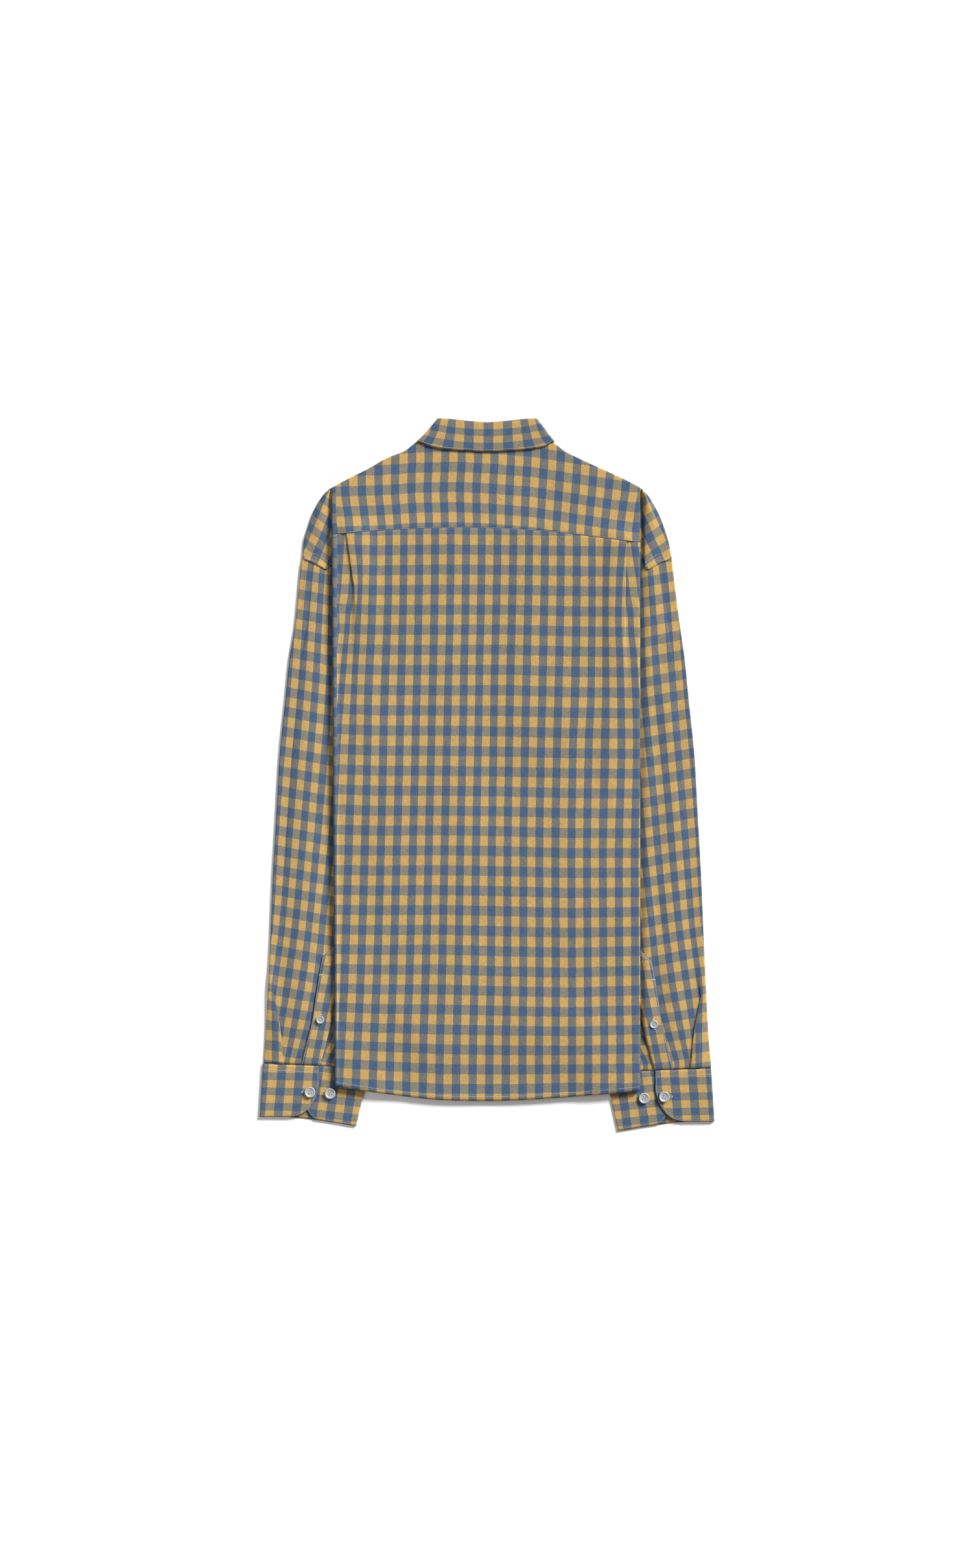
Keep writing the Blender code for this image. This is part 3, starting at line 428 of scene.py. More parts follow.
def hemDroop(x, y):
    # nothing lies under the middle of the hem, so its layers sink there
    low, width = body["hemDroop"], body["hemDroopWidth"]
    return low * ease((-290 - y) / 70) * (1 - ease((np.abs(x) - width) / 40))


def turnHeight(y):
    return curve(layers, "turn", "y", y)


def frontHeight(side, x, y):
    level = curve(layers, "front", "y", y)
    centre = 1 - ease((np.abs(x) - body["centreHalfWidth"]) / body["centreClimb"])
    return mix(level, np.minimum(level, body["centreHeight"][side]), centre)


def sleeveHeight(side, x, y):
    outer = outerAt(side, y)
    inner = foldAt(side, y) + 2
    t = np.clip((outer - x) / (outer - inner), 0.0, 1.0)
    swells = swelling(side, y)
    fullness = mix(2.6, 1.8, ease(y / 200)) * mix(0.1, 1.0, swells)
    fromFold = (x - inner) / sleeveFacts["besideWidth"]
    ridge = sleeveFacts["besideBody"][side] * ease(fromFold) * (1 - ease((fromFold - 1) / 4)) * swells
    return sleeveTop + fullness * np.sin(math.pi * t) ** 2 + ridge + edgeRise(side, y) * (
        1 - ease((outer - x) / sleeveFacts["edgeWidth"]))


def swelling(side, y):
    # how far the sleeve has room to swell above the cuff that holds it flat
    return ease((y - sleeveFacts["corner"][side][1]) / 60)


def edgeRise(side, y):
    return sleeveFacts["edgeRise"] * swelling(side, y)


def turnedUnder(y):
    share = (body["shoulderTip"] - y) / (body["shoulderTip"] - body["underarm"])
    return body["turnedUnder"] * np.minimum(share, 1.0)


def halfTurn(across, start, end, way, pieces=8):
    middle, radius = (start + end) / 2, (start - end) / 2
    a = np.linspace(0, math.pi, pieces + 1)
    return np.stack([across + way * abs(radius) * np.sin(a), middle + radius * np.cos(a)], 1)


def pleatFold(edge, low, drop, bend, run, way, pieces=6, runPieces=4):
    # section of a pleat from its high side past the folded edge and back under to its low side
    radius = pleatStep / 4 * math.pi / bend
    a = np.linspace(0, bend, pieces + 1)
    far = 2 * radius * math.sin(bend) + run * math.cos(bend)
    height = 2 * radius * (1 - math.cos(bend)) + run * math.sin(bend)
    first = np.stack([radius * np.sin(a), height - radius * (1 - np.cos(a))], 1)
    second = np.stack([far - radius * np.sin(a[::-1]), radius * (1 - np.cos(a[::-1]))], 1)
    between = [mix(first[-1], second[0], k / runPieces) for k in range(1, runPieces)]
    points = np.concatenate([first, np.array(between), second])
    shift = radius if bend > math.pi / 2 else far / 2
    return np.stack([edge + way * (points[:, 0] - shift), low + points[:, 1] * drop / height], 1)


def openedPleat(pastEnd, fade):
    # a pleat past its end opens from a flat fold to a soft step
    bend = max(1.25 * math.exp(-max(pastEnd, 0) / fade), 0.1)
    run = 4 * (1 - bend / 1.3)
    tight = float(ease(-pastEnd / 8))
    return mix(bend, math.pi, tight), mix(run, 0.0, tight)


def backPleat(side, belowSeam):
    pleat = backPleats[side]
    share = belowSeam / pleat["length"]
    edge = mix(pleat["top"], pleat["foot"], min(share, 1.0))
    pastEnd = belowSeam - pleat["length"]
    if pastEnd < -8:
        return edge, pleatStep, math.pi, pleat["overlap"] * (1 - share)
    drop = pleatStep * math.exp(-((max(pastEnd, 0) / 75) ** 2))
    bend, run = openedPleat(pastEnd, 24)
    return edge, drop, bend, run + pleat["overlap"] * max(1 - share, 0)


def pleatStart(side, edge):
    return edge - backPleats[side]["overlap"] - 6 - pleatApproach


def pleatLift(side, across):
    edge = backPleats[side]["top"]
    up = ease((across - pleatStart(side, edge)) / pleatApproach)
    return pleatStep * up * (1 - ease((across - edge) / 9))


backCreases = (
    # shallow waves left by folding and steaming
    (-60, 240, -48, -60, 0.55, 16, 5), (-20, 120, -8, -300, 0.5, 20, -6), (52, 250, 44, 20, 0.5, 15, -5),
    (84, 180, 92, -200, 0.6, 18, 6), (-100, 60, -108, -250, 0.5, 17, -5), (28, -40, 34, -340, 0.45, 18, 4),
    (-140, 150, -138, -40, 0.5, 9, 3), (140, 120, 142, -60, 0.5, 9, -3), (0, 262, 6, 160, 0.4, 14, 0),
    (-130, -240, -60, -330, 0.5, 14, 5), (70, -250, 140, -318, 0.5, 13, -4), (-30, 262, -36, 205, 0.35, 8, 0),
    (110, 255, 104, 190, 0.4, 8, 2), (-84, 262, -92, 196, 0.4, 9, 0), (150, -120, 152, -300, 0.4, 8, 2),
)


def backRow(side, belowSeam):
    # half a row of the back from beside the centre out and under, and how many points its parts have
    share = belowSeam / body["length"]
    y = float(mix(seamY(side * 170), hemY(side * 170), share))
    edge, drop, bend, run = backPleat(side, max(belowSeam, 0))
    start = pleatStart(side, edge)

    def level(x):
        return backHeight(x, y)

    flat = start * np.arange(1, 42) / 41
    climb = start + pleatApproach * np.arange(1, 7) / 6
    fold = pleatFold(edge, float(level(edge)), drop, bend, run, 1)
    shelf = np.linspace(climb[-1], fold[0, 0], 7)[1:-1]
    sideFold = float(foldAt(side, y))
    low = float(turnHeight(y))
    radius = (float(level(sideFold)) - low) / 2
    turnFrom = sideFold - radius
    beyond = np.linspace(fold[-1, 0], edge + 9, 5)[1:]
    split = min(sideStrip["at"], turnFrom - 0.2) if side == left else mix(edge + 9, turnFrom, 0.6)
    outer = np.array([mix(edge + 9, split, 0.6), split - 0.03, split + 0.03])
    turn = halfTurn(turnFrom, float(level(sideFold)), low, 1, 10)
    inside = np.linspace(turnFrom, sideFold - float(turnedUnder(y)), 18)[1:]
    x = np.concatenate([flat, climb, shelf, fold[:, 0], beyond, outer, turn[:, 0], inside])
    groove = np.array([0.0, 1.0, 0.6]) * (sideStrip["groove"] if side == left else 0.0)
    z = np.concatenate([
        level(flat), level(climb) + drop * ease((climb - start) / pleatApproach), level(shelf) + drop,
        fold[:, 1], level(beyond), level(outer) - groove, turn[:, 1], np.full(len(inside), low)])
    unfolded = np.concatenate([x[:-len(inside)], 2 * sideFold - inside])
    return x, z, unfolded, (len(flat) + len(climb) + len(shelf), len(fold), len(turn), len(inside))


sideStrip = {
    # the cloth beside the left fold lies slipped along a line that runs down the whole side
    "at": 171.45,
    "groove": 0.3,
    "slip": 0.19,
    "slipEnds": -60.0,
    "yokeSlip": -0.15,
    "yokeFrom": 272.5,
}


def stripWeave(x, y, v):
    u = 0.5 + (x - 174.5) / check["width"]
    slip = sideStrip["slip"] * ease((y - sideStrip["slipEnds"]) / 150)
    return u, v - np.where(y > sideStrip["yokeFrom"], sideStrip["yokeSlip"], slip)


def makeBack():
    rows = []
    for belowSeam in [-cloth["tuck"], -1.5, *(body["length"] * spread(body["length"], 3.3))]:
        share = max(belowSeam, 0) / body["length"]
        underYoke = max(-belowSeam, 0)
        halves = []
        for side in sides:
            x, z, unfolded, (pleat, pleatCount, turnCount, insideCount) = backRow(side, belowSeam)
            past = pleat + pleatCount
            inside = len(x) - insideCount
            turn = inside - turnCount
            atFold = turn + turnCount // 2
            y = mix(seamY(side * unfolded) - 0.15, hemY(side * unfolded), share) + underYoke
            u, v = backWarp(side * x, y), backWeft(side * x, y)
            u[past:] = sideWarp(side, side * x[past:], y[past:])
            run = lengthAlong(x[pleat:past], z[pleat:past])
            end = sideWarp(side, side * x[past - 1:past], y[past - 1:past])[0]
            u[pleat:past] = mix(u[pleat], end, run / run[-1])
            if side == left:
                strip = slice(turn - 1, inside)
                u[strip], v[strip] = stripWeave(x[strip], y[strip], v[strip])
            # round the fold the checks run on as if it lay open
            u[inside:] = u[atFold] + side * (unfolded[inside:] - unfolded[atFold]) / check["width"]
            v[inside:] = v[atFold] + (y[atFold] - y[inside:]) / check["height"]
            bump = pressed(backCreases, side * x, y)
            bump[turn:] = 0
            z = z + bump * ease((belowSeam + 2) / 30) - hemDroop(x, y)
            if underYoke:
                z = z - 0.75
            halves.append((side * x, y, z, u, v))
        middle = [(a[0] + b[0]) / 2 for a, b in zip(*halves)]
        middle[:2] = 0.0, mix(281.0, -372.7, share) + underYoke
        rows.append(bothHalves(halves, middle))
    return patchOf(rows)


yokeX = (-167.6, -123.2, -78.8, -34.4, 10.0, 54.4, 98.8, 143.2, 165.4)
yokeWarpDrift = {
    # rows down the yoke, columns across: shift of the warp from an even spacing
    357.8: (-0.36, -0.40, -0.43, -0.44, -0.42, -0.42, -0.43, -0.46, -0.47),
    322.3: (-0.39, -0.42, -0.38, -0.33, -0.32, -0.30, -0.31, -0.31, -0.32),
    304.5: (-0.51, -0.50, -0.44, -0.36, -0.31, -0.26, -0.22, -0.18, -0.16),
    286.7: (-0.64, -0.60, -0.49, -0.39, -0.31, -0.22, -0.15, -0.08, -0.03),
    277.9: (-0.69, -0.62, -0.50, -0.40, -0.31, -0.20, -0.12, -0.03, 0.02),
}
yokeWeftDrift = (0.02, 0.08, 0.21, 0.25, 0.15, -0.02, -0.33, -0.62, -0.76)
neckColumns = 24  # of the yoke, from the centre to the neck's side


def yokeWeave(x, y):
    u = x / (25.5 * pixel) + 29.4706 + grid(yokeWarpDrift, yokeX, x, y)
    return u, -y / check["height"] + 0.5645 + np.interp(x, yokeX, yokeWeftDrift)


def neckAt(side):
    return float(curve(shoulderLine, sides[side], "y", 379.2))


def yokeTop(side, across):
    shoulder = curve(shoulderLine, "y", sides[side], across)
    return np.where(across <= neckAt(side), curve(backNeck, "y", "across", across), shoulder)


def yokeFlat(side, columns, step):
    # columns are (start, share) pairs from beside the centre out; step is the way up from the seam
    start, share = np.array(columns).T
    across = mix(start, foldAt(side, 300) - 1, share)
    top = yokeTop(side, across) - np.where(share > 0, layer / 2, 0)
    y = mix(seamY(side * across), top, step)
    radius = (curve(layers, "back", "y", y) - turnHeight(y)) / 2
    across = mix(start, foldAt(side, y) - radius, share)
    aboveSeam = y - seamY(side * across)
    lift = np.where(share < 1, pleatLift(side, across) * (1 - ease(aboveSeam / 26)), 0.0)
    return side * across, y, backHeight(across, y) + lift


yokeCreases = (
    (-150, 300, -60, 360, 0.35, 10, 4), (60, 352, 150, 300, 0.35, 10, -4), (-20, 290, -30, 352, 0.3, 12, 2),
    (40, 292, 52, 350, 0.3, 12, -2),
)


def yokeColumns(side):
    neck = neckAt(side)
    split = (sideStrip["at"] - neck) / (174.9 - neck)
    last = [split - 0.0003, split + 0.0003] if side == left else [32.6 / 34, 33.2 / 34]
    shares = [k / 34 for k in range(1, 33)] + last + [1.0]
    upToNeck = [(neck * k / neckColumns, 0.0) for k in range(1, neckColumns + 1)]
    return upToNeck + [(neck, share) for share in shares]


def makeYoke():
    steps = spread(105)  # from the seam to the neck
    rows = []
    for step in steps:
        y = mix(float(seamY(0)), 373.7, step)
        halves = [yokeFlat(side, yokeColumns(side), step) for side in sides]
        rows.append(bothHalves(halves, (0.0, y, float(backHeight(0.0, y)))))
    plate = patchOf(rows)
    x, y, z = plate.values()
    edge = 0.35 * np.exp(-((y - seamY(x) - 5) / 6) ** 2)  # the seam's turnings make it thicker just above
    z += pressed(yokeCreases, x, y)
    z += edge * (1 - ease((np.abs(x) - 166) / 6))
    u, v = plate["u"], plate["v"] = yokeWeave(x, y)
    u[:, :2], v[:, :2] = stripWeave(-x[:, :2], y[:, :2], v[:, :2])
    z[:, 1:3] -= sideStrip["groove"] * 0.8
    patches = [plate]
    slopeOut, cornerOut, sideOut = np.array(((0.42, 0.9), (0.8, 0.6), (1.0, 0.0)))  # ways that the rim turns
    for side in sides:
        # the strip turned under starts at the plate's rim: along the top row, then down the side
        corner = len(yokeColumns(side)) - neckColumns
        first = x.shape[1] // 2 + side * neckColumns
        rim = [(-1, first + side * i) for i in range(corner + 1)]
        rim += [(i, 0 if side == left else -1) for i in range(len(steps) - 2, -1, -1)]
        rim = [(side * x[at], y[at], z[at]) for at in rim]
        rows = []
        for i, (across, level, top) in enumerate(rim):
            low = float(turnHeight(level))
            if i <= corner:
                t = i / corner
                start, end = body["neckSide"], body["yokeTurnEnd"]
                out = mix(slopeOut, cornerOut, float(ease((t - 0.8) / 0.2)))
            else:
                t = (i - corner) / (len(rim) - 1 - corner)
                start = body["yokeTurnEnd"]
                end = (float(foldAt(side, level) - turnedUnder(level)), rim[-1][1])
                out = mix(cornerOut, sideOut, float(ease(t / 0.12)))
            inner = [mix(a, b, t) for a, b in zip(start, end)]
            turn = halfTurn(0, top, low, 1, 8)
            t = np.linspace(0, 1, 14)[1:]
            xs = np.concatenate([across + out[0] * turn[:, 0], mix(across, inner[0], t)])
            ys = np.concatenate([level + out[1] * turn[:, 0], mix(level, inner[1], t)])
            zs = np.concatenate([turn[:, 1], mix(low, float(turnHeight(inner[1])), t)])
            u0, v0 = yokeWeave(np.array([side * across]), np.array([level]))
            if side == left and i > corner:
                u0, v0 = stripWeave(np.array([across]), np.array([level]), v0)
            reach = np.hypot(xs - across, ys - level)
            rows.append((side * xs, ys, zs, u0[0] + side * out[0] * reach / check["width"],
                         v0[0] - out[1] * reach / check["height"]))
        patches.append({**patchOf(rows), "flip": side == left})
    return patches


# across and down the yoke's end from one ochre check to the next, in the photo's scale
shoulderLattice = {left: ((-21.9, 16.3), (9.2, 22.6)), right: ((-23.5, 16.8), (10.4, 23.3))}


def shoulderWeave(side, x, y):
    # the yoke's end, tilted by the drop of the shoulder; x is out from the centre
    u, v = latticeWeave((x - 198.1) / pixel, (y - 268.4) / -pixel, (0, 0), *shoulderLattice[side])
    return -side * u, v


flapEdge = table("across y", (
    # lower edge of the cloth that hangs over the armhole's seam
    (160, 228), (180.5, 237.5), (182.6, 233.6), (185, 234.4), (194, 239.5), (203, 244.2), (207, 245.4),
    (211, 247.0)))
shoulderTip = {left: ((171, 176.6, 180.4, 183.1), (318, 328.4, 326.3, 323)),
               right: ((168, 173.4, 176.9, 179.4), (316, 328.4, 326.2, 323))}


def makeShoulderEnd(side):
    radius = layer / 2
    holeX, holeY = armhole["across"], armhole["y"]
    innerTop, innerLow = np.array((140.0, 305.0)), np.array((holeX[0], holeY[0]))
    outerTop = np.array((float(outerAt(side, 323)) - radius, 323.0))
    outerLow = np.array((holeX[-1], holeY[-1]))
    fine = [mix(a, b, np.linspace(0, 1, 15)[:-1]) for a, b in zip(holeX, holeX[1:])]
    fine = np.concatenate([*fine, holeX[-1:]])
    hole = np.stack([fine, np.interp(fine, holeX, holeY)], 1)
    share = ((outerLow[0] - fine) / (outerLow[0] - innerLow[0]))[:, None]

    def spotsAt(v):
        # a row between the outline, the armhole and the two hidden sides
        y = mix(outerTop[1], outerLow[1], v)
        outer = np.array((float(outerAt(side, y)) - radius, y))
        inner = mix(innerTop, innerLow, v)
        corners = mix(mix(outerTop, outerLow, v), inner, share)
        return mix(outer, inner, share) + mix(mix(outerTop, innerTop, share), hole, v) - corners

    lip = []
    over = fine[fine > 160]
    seam = np.interp(over, holeX, holeY)
    for t in np.linspace(0, 1, 6):
        y = mix(seam, np.minimum(np.interp(over, flapEdge["across"], flapEdge["y"]), seam), t)
        x = np.minimum(over, outerAt(side, y) - 0.6)
        z = sleeveHeight(side, x, y) + 0.85 * ease(1.6 * t) * ease((211 - over) / 5)
        lip.append((side * x, y, z, *shoulderWeave(side, x, y)))

    rows = []
    for v in [0.0, *np.linspace(0, 1, 28)]:
        spots = spotsAt(v)
        if not rows:
            # up to the line of the shoulder, which the yoke's corner carries on
            tipX, tipY = shoulderTip[side]
            spots[:, 1] = np.where(spots[:, 0] < tipX[0], spots[:, 1], np.interp(spots[:, 0], tipX, tipY))
        rise = float(edgeRise(side, spots[-1, 1]))
        spots[-1, 0] -= rise / 2
        x, y = spots[:-1].T
        turn = halfTurn(spots[-1, 0], sleeveTop + rise, floorCloth, 1, 8)
        xs = np.concatenate([x, turn[:, 0], x[::-1]])
        ys = np.concatenate([y, np.full(len(turn), spots[-1, 1]), y[::-1]])
        zs = np.concatenate([sleeveHeight(side, x, y), turn[:, 1], np.full(len(x), floorCloth)])
        flatX = np.concatenate([x, turn[:, 0], 2 * spots[-1, 0] - x[::-1]])
        rows.append((side * xs, ys, zs, *shoulderWeave(side, flatX, ys)))
    return [patchOf(rows), patchOf(lip)]


def frontTop(x):
    x = np.abs(x)
    low, (neckX, neckY) = body["frontNeckLow"], body["neckSide"]
    endX, endY = body["frontYokeEnd"]
    neck = low - 0.3 + (neckY - low) * (np.minimum(x, neckX) / neckX) ** 2.2
    yoke = mix(neckY, endY, (x - neckX) / (endX - neckX)) - 0.6
    t = (x - endX) / 8
    outer = mix(272.0, body["frontTurnTop"], np.minimum((x - 150) / 24, 1))
    outer = np.where(t < 1, mix(endY - 0.6, 272.0, t), outer)
    return np.where(x < neckX, neck, np.where(x < endX, yoke, outer))


def makeFront(side):
    turned = layers["front"][0] - layer
    across = np.linspace(-body["frontOverlap"], 161, 50)
    top, hem = frontTop(across), hemY(side * across) + body["frontHemRise"]
    rows = []
    for share in spread(620, 4.2):
        y = mix(top, hem, share)
        sideY = mix(body["frontTurnTop"], float(hemY(side * 174)) + body["frontHemRise"], share)
        fold = float(foldAt(side, sideY)) - layer
        turn = halfTurn(fold - layer / 2, turned + layer, turned, 1, 8)
        inner = np.linspace(fold - layer / 2, float(foldAt(side, sideY) - turnedUnder(sideY)), 22)[1:]
        unfolded = 2 * fold - inner
        innerY = mix(body["frontTurnTop"], hemY(side * unfolded) + body["frontHemRise"], share)
        xs = np.concatenate([across, turn[:, 0], inner])
        ys = np.concatenate([y, np.full(len(turn), sideY), innerY])
        zs = np.concatenate([frontHeight(side, across, y), turn[:, 1], np.full(len(inner), turned)])
        zs = zs - hemDroop(xs, ys) * ease((np.abs(xs) - body["centreHalfWidth"]) / body["centreClimb"])
        flatX = np.concatenate([across, turn[:, 0], unfolded])
        rows.append((side * xs, ys, zs, side * flatX / check["width"], -ys / check["height"] + 0.56))
    return patchOf(rows)


sleeveWarpY = (300.0, 217.0, 101.8, -36.6, -169.8, -232.7, -280.8, -328.9)
sleeveWarp = {  # each ochre column from the body outwards, out from the centre
    0: (168.0, 171.7, 173.5, 182.6, 195.4, 202.4, 211.3, 222.7),
    1: (175.0, 182.8, 187.8, 199.1, 210.5, 218.7, 226.8, 234.6),
    2: (186.5, 196.1, 204.0, 215.3, 226.8, 235.1, 241.6, 247.5),
    3: (200.0, 211.1, 220.0, 231.6, 240.6, 248.3, 253.5, 259.0),
}


def sleeveWeave(side, x, y):
    drift = 2.0 * ease((205 - x) / 10) * ease((y + 20) / 160) if side == right else 0.0
    u = acrossLines(sleeveWarp, sleeveWarpY, x + drift, y)
    fall = 0.2 * (smooth(sleeveWarpY, sleeveWarp[3], y) - x) * mix(0.7, 1.0, ease((y + 330) / 120))
    drop = 3.0 * pixel if side == right else 0.0
    return side * u, -(y + fall - 216.9 + drop) / (30.45 * pixel)


def armholeY(across):
    return np.interp(across, armhole["across"], armhole["y"]) - 0.15


def sleeveEdges(side, wayDown):
    corner = sleeveFacts["corner"][side][1]
    cuffFall = sleeveFacts["cuffSlope"] * sleeveFacts["cuffWidth"]
    outerY = mix(float(armholeY(210)), corner + 0.3, wayDown)
    innerY = mix(float(armholeY(45)), corner - cuffFall + 0.3, wayDown)
    return float(outerAt(side, outerY)), float(curve(sleeveInner, "across", "y", innerY))


def sleeveY(side, across, wayDown, edges):
    outer, inner = edges
    share = (outer - layer / 2 - across) / (outer - layer / 2 - inner)
    cuffFall = sleeveFacts["cuffSlope"] * sleeveFacts["cuffWidth"] * share
    straight = mix(armholeY(210), armholeY(45), share)
    top = mix(armholeY(mix(210, 45, share)), straight, ease(wayDown / sleeveFacts["armholeFades"]))
    return mix(top, sleeveFacts["corner"][side][1] - cuffFall + 0.3, wayDown)


def sleevePleat(side, aboveCuff, outer):
    # its folded edge, step, bend and run, and how high the strip outside it still lies at the outer fold
    folded = sleeveFacts["corner"][side][0] - float(curve(sleevePleats, "inward", "down", -aboveCuff))
    overlap = sleeveFacts["pleatOverlap"] * (1 - aboveCuff / sleeveFacts["pleatTop"])
    atFold = pleatStep * float(1 - ease((outer - folded - 4) / 14))
    pastEnd = aboveCuff - sleeveFacts["pleatOpens"]
    if pastEnd < -8:
        return folded, pleatStep, math.pi, overlap, atFold
    opened = outer - 6.5 - min(max(pastEnd, 0) / 12, 3)
    t = float(ease((pastEnd + 8) / 12))
    drop = pleatStep * math.exp(-((max(pastEnd, 0) / 24) ** 2))
    bend, run = openedPleat(pastEnd, 14)
    return mix(folded, opened, t), drop, bend, run + max(overlap, 0) * (1 - t), mix(atFold, drop, t)


sleeveCreases = (
    # out from the centre, then height on the page
    (186, 200, 214, 120, 0.7, 6, 3), (182, 150, 206, 60, 0.6, 7, -3), (200, 90, 222, -20, 0.5, 8, 4),
    (184, 40, 190, -70, 0.6, 6, -3), (208, 0, 232, -120, 0.5, 8, 3), (190, -60, 212, -190, 0.6, 7, -4),
    (180, -130, 200, -240, 0.5, 6, 3), (196, -200, 220, -290, 0.5, 6, 3), (188, 236, 200, 180, 0.6, 5, -2),
)
pleatBank = {"height": 1.1, "away": 2.6, "width": 1.6}


def sleeveRow(side, aboveCuff, closed):
    wayDown = 1 - aboveCuff / sleeveLength[side]
    edges = outer, inner = sleeveEdges(side, min(max(wayDown, 0), 1))
    # the slit, which higher up becomes a line that wanders to the middle of the sleeve
    stitched = float(curve(plackets, "stitched", "down", max(-aboveCuff, -124)))
    slit = sleeveFacts["corner"][side][0] - stitched - sleeveFacts["slitFromStitching"]
    slit = mix(mix(outer, inner, 0.5), slit, float(ease((330 - aboveCuff) / 200)))

    def down(across):
        return sleeveY(side, across, wayDown, edges)

    def upper(across):
        return sleeveHeight(side, across, down(across))

    edge, step, bend, run, atFold = sleevePleat(side, max(aboveCuff, 0), outer)
    fold = pleatFold(edge, float(upper(edge)), step, bend, run, -1)[::-1]
    main = mix(slit, fold[0, 0], np.concatenate([np.arange(13) / 13.7, [0.962, 0.976, 0.988]]))
    rise = float(edgeRise(side, float(down(outer))))
    atFold = atFold + rise
    stripEnd = outer - (layer + atFold) / 2
    strip = np.linspace(max(fold[0, 0], fold[-1, 0]) + 1.2, stripEnd, 7)[:-1]
    t = np.linspace(0, 1, 7)[:-1]
    turn = halfTurn(stripEnd, sleeveTop + atFold, floorCloth, 1, 10)
    floor = np.linspace(stripEnd, inner, 32)[1:-1]
    innerTurn = halfTurn(inner + layer / 2, floorCloth, sleeveTop, -1, 6)
    back = mix(inner, slit, np.linspace(0, 1, 20)[1:])
    parts = (main, fold[:, 0], strip, turn[:, 0], floor, innerTurn[:, 0], back)
    x = np.concatenate(parts)
    y = down(x)
    tight = float(ease((sleeveFacts["pleatTop"] + 6 - aboveCuff) / 24)) * float(ease((aboveCuff + 6) / 20))
    away = (fold[:, 0].max() - main - pleatBank["away"]) / pleatBank["width"]
    bank = pleatBank["height"] * tight * np.exp(-(away ** 2))
    z = np.concatenate([
        upper(main) + bank, fold[:, 1], upper(strip) + mix(step, atFold, t) - t * rise, turn[:, 1],
        np.full(len(floor), floorCloth), innerTurn[:, 1], upper(back)])
    mainEnd, foldEnd, stripStop, turnEnd, floorEnd, innerEnd, end = np.cumsum([len(part) for part in parts])
    u, v = sleeveWeave(side, x, y)
    firm = ease((sleeveFacts["pleatTop"] - aboveCuff) / 40)
    # the strip on top of the pleat keeps its own straight columns beside the fold
    own = side * ((x - 249.4) / 15.4 + 3)
    u[foldEnd - 1:stripStop] = mix(u[foldEnd - 1:stripStop], own[foldEnd - 1:stripStop], firm)
    v[foldEnd - 1:floorEnd] += 0.217 * firm
    run = lengthAlong(x[mainEnd - 1:foldEnd], z[mainEnd - 1:foldEnd])
    u[mainEnd - 1:foldEnd] = mix(u[mainEnd - 1], u[foldEnd - 1], run / run[-1])
    # the hidden underside runs on evenly from the outer fold
    atTurn = u[stripStop - 1]
    u[stripStop:turnEnd] = atTurn + side * np.linspace(0.02, 0.3, len(turn))
    u[turnEnd:floorEnd] = atTurn + side * (0.3 + (stripEnd - floor) / check["width"])
    u[floorEnd:innerEnd] = u[floorEnd - 1] + side * np.linspace(0, 0.2, len(innerTurn))
    bump = np.zeros(len(x))
    creased = np.r_[0:mainEnd, innerEnd:end]
    bump[creased] = pressed(sleeveCreases, x[creased], y[creased]) * float(ease((aboveCuff - 30) / 60))
    # the seam with the shoulder end draws it down
    upperSide = np.r_[0:stripStop, innerEnd:end]
    bump[upperSide] -= 0.5 * (1 - float(ease((sleeveLength[side] - aboveCuff) / 7)))
    if not closed:
        x[0] += 0.15
        x[-1] -= 0.15
    return side * x, y, z + bump, u, v


def makeSleeve(side):
    length = sleeveLength[side]
    rows = []
    for aboveCuff in [length + cloth["tuck"], *(length * spread(length, 3.2)[::-1])]:
        x, y, z, u, v = sleeveRow(side, min(aboveCuff, length), aboveCuff >= sleeveFacts["slitTop"])
        if aboveCuff > length:
            # tucked up under the shoulder end, and drawn in at its outer edge
            y = y + cloth["tuck"]
            z = z - np.where(z > 1.2, 0.5, 0.0)
            x = x - side * 1.3 * ease((np.abs(x) - 200) / 8)
        rows.append((x, y, z, u, v))
    return patchOf(rows)


def fromCuff(side, inward, down):
    across, y = sleeveFacts["corner"][side]
    return across - inward, y - down


# where one ochre check lies, inwards and down, then the next one along and the next one down
cuffWeaves = {
    "flap": ((30.2, 23.5), (20.4, 0.4), (-1.4, 17.4)),
    "under": ((89.9, 34.3), (19.8, 2.3), (-2.4, 17.2)),
}
placketWeave = ((61.7, -54.0), (15.0, 1.5), (-4.1, 21.1))


def makePlacket(side):
    lift = cloth["wall"] / 2 + placketClearance + cloth["placketWall"] / 2
    t = np.linspace(0, 1, 10)
    edge = 0.25 * (np.exp(-t * 9) + np.exp(-(1 - t) * 9))
    rows = []
    for down in [placketPoint[1], *np.linspace(-124, 0, 40)]:
        if down < -124:
            inward, downs = np.full(10, placketPoint[0]), np.full(10, down)
        else:
            stitched, free = (float(curve(plackets, name, "down", down)) for name in ("stitched", "free"))
            inward = mix(stitched, free, t)
            downs = down + sleeveFacts["cuffSlope"] * inward
        across, y = fromCuff(side, inward, downs)
        u, v = latticeWeave(inward, downs, *placketWeave)
        rows.append((side * across, y + 0.3, sleeveHeight(side, across, y) + lift - edge, side * u, v))
    return patchOf(rows)


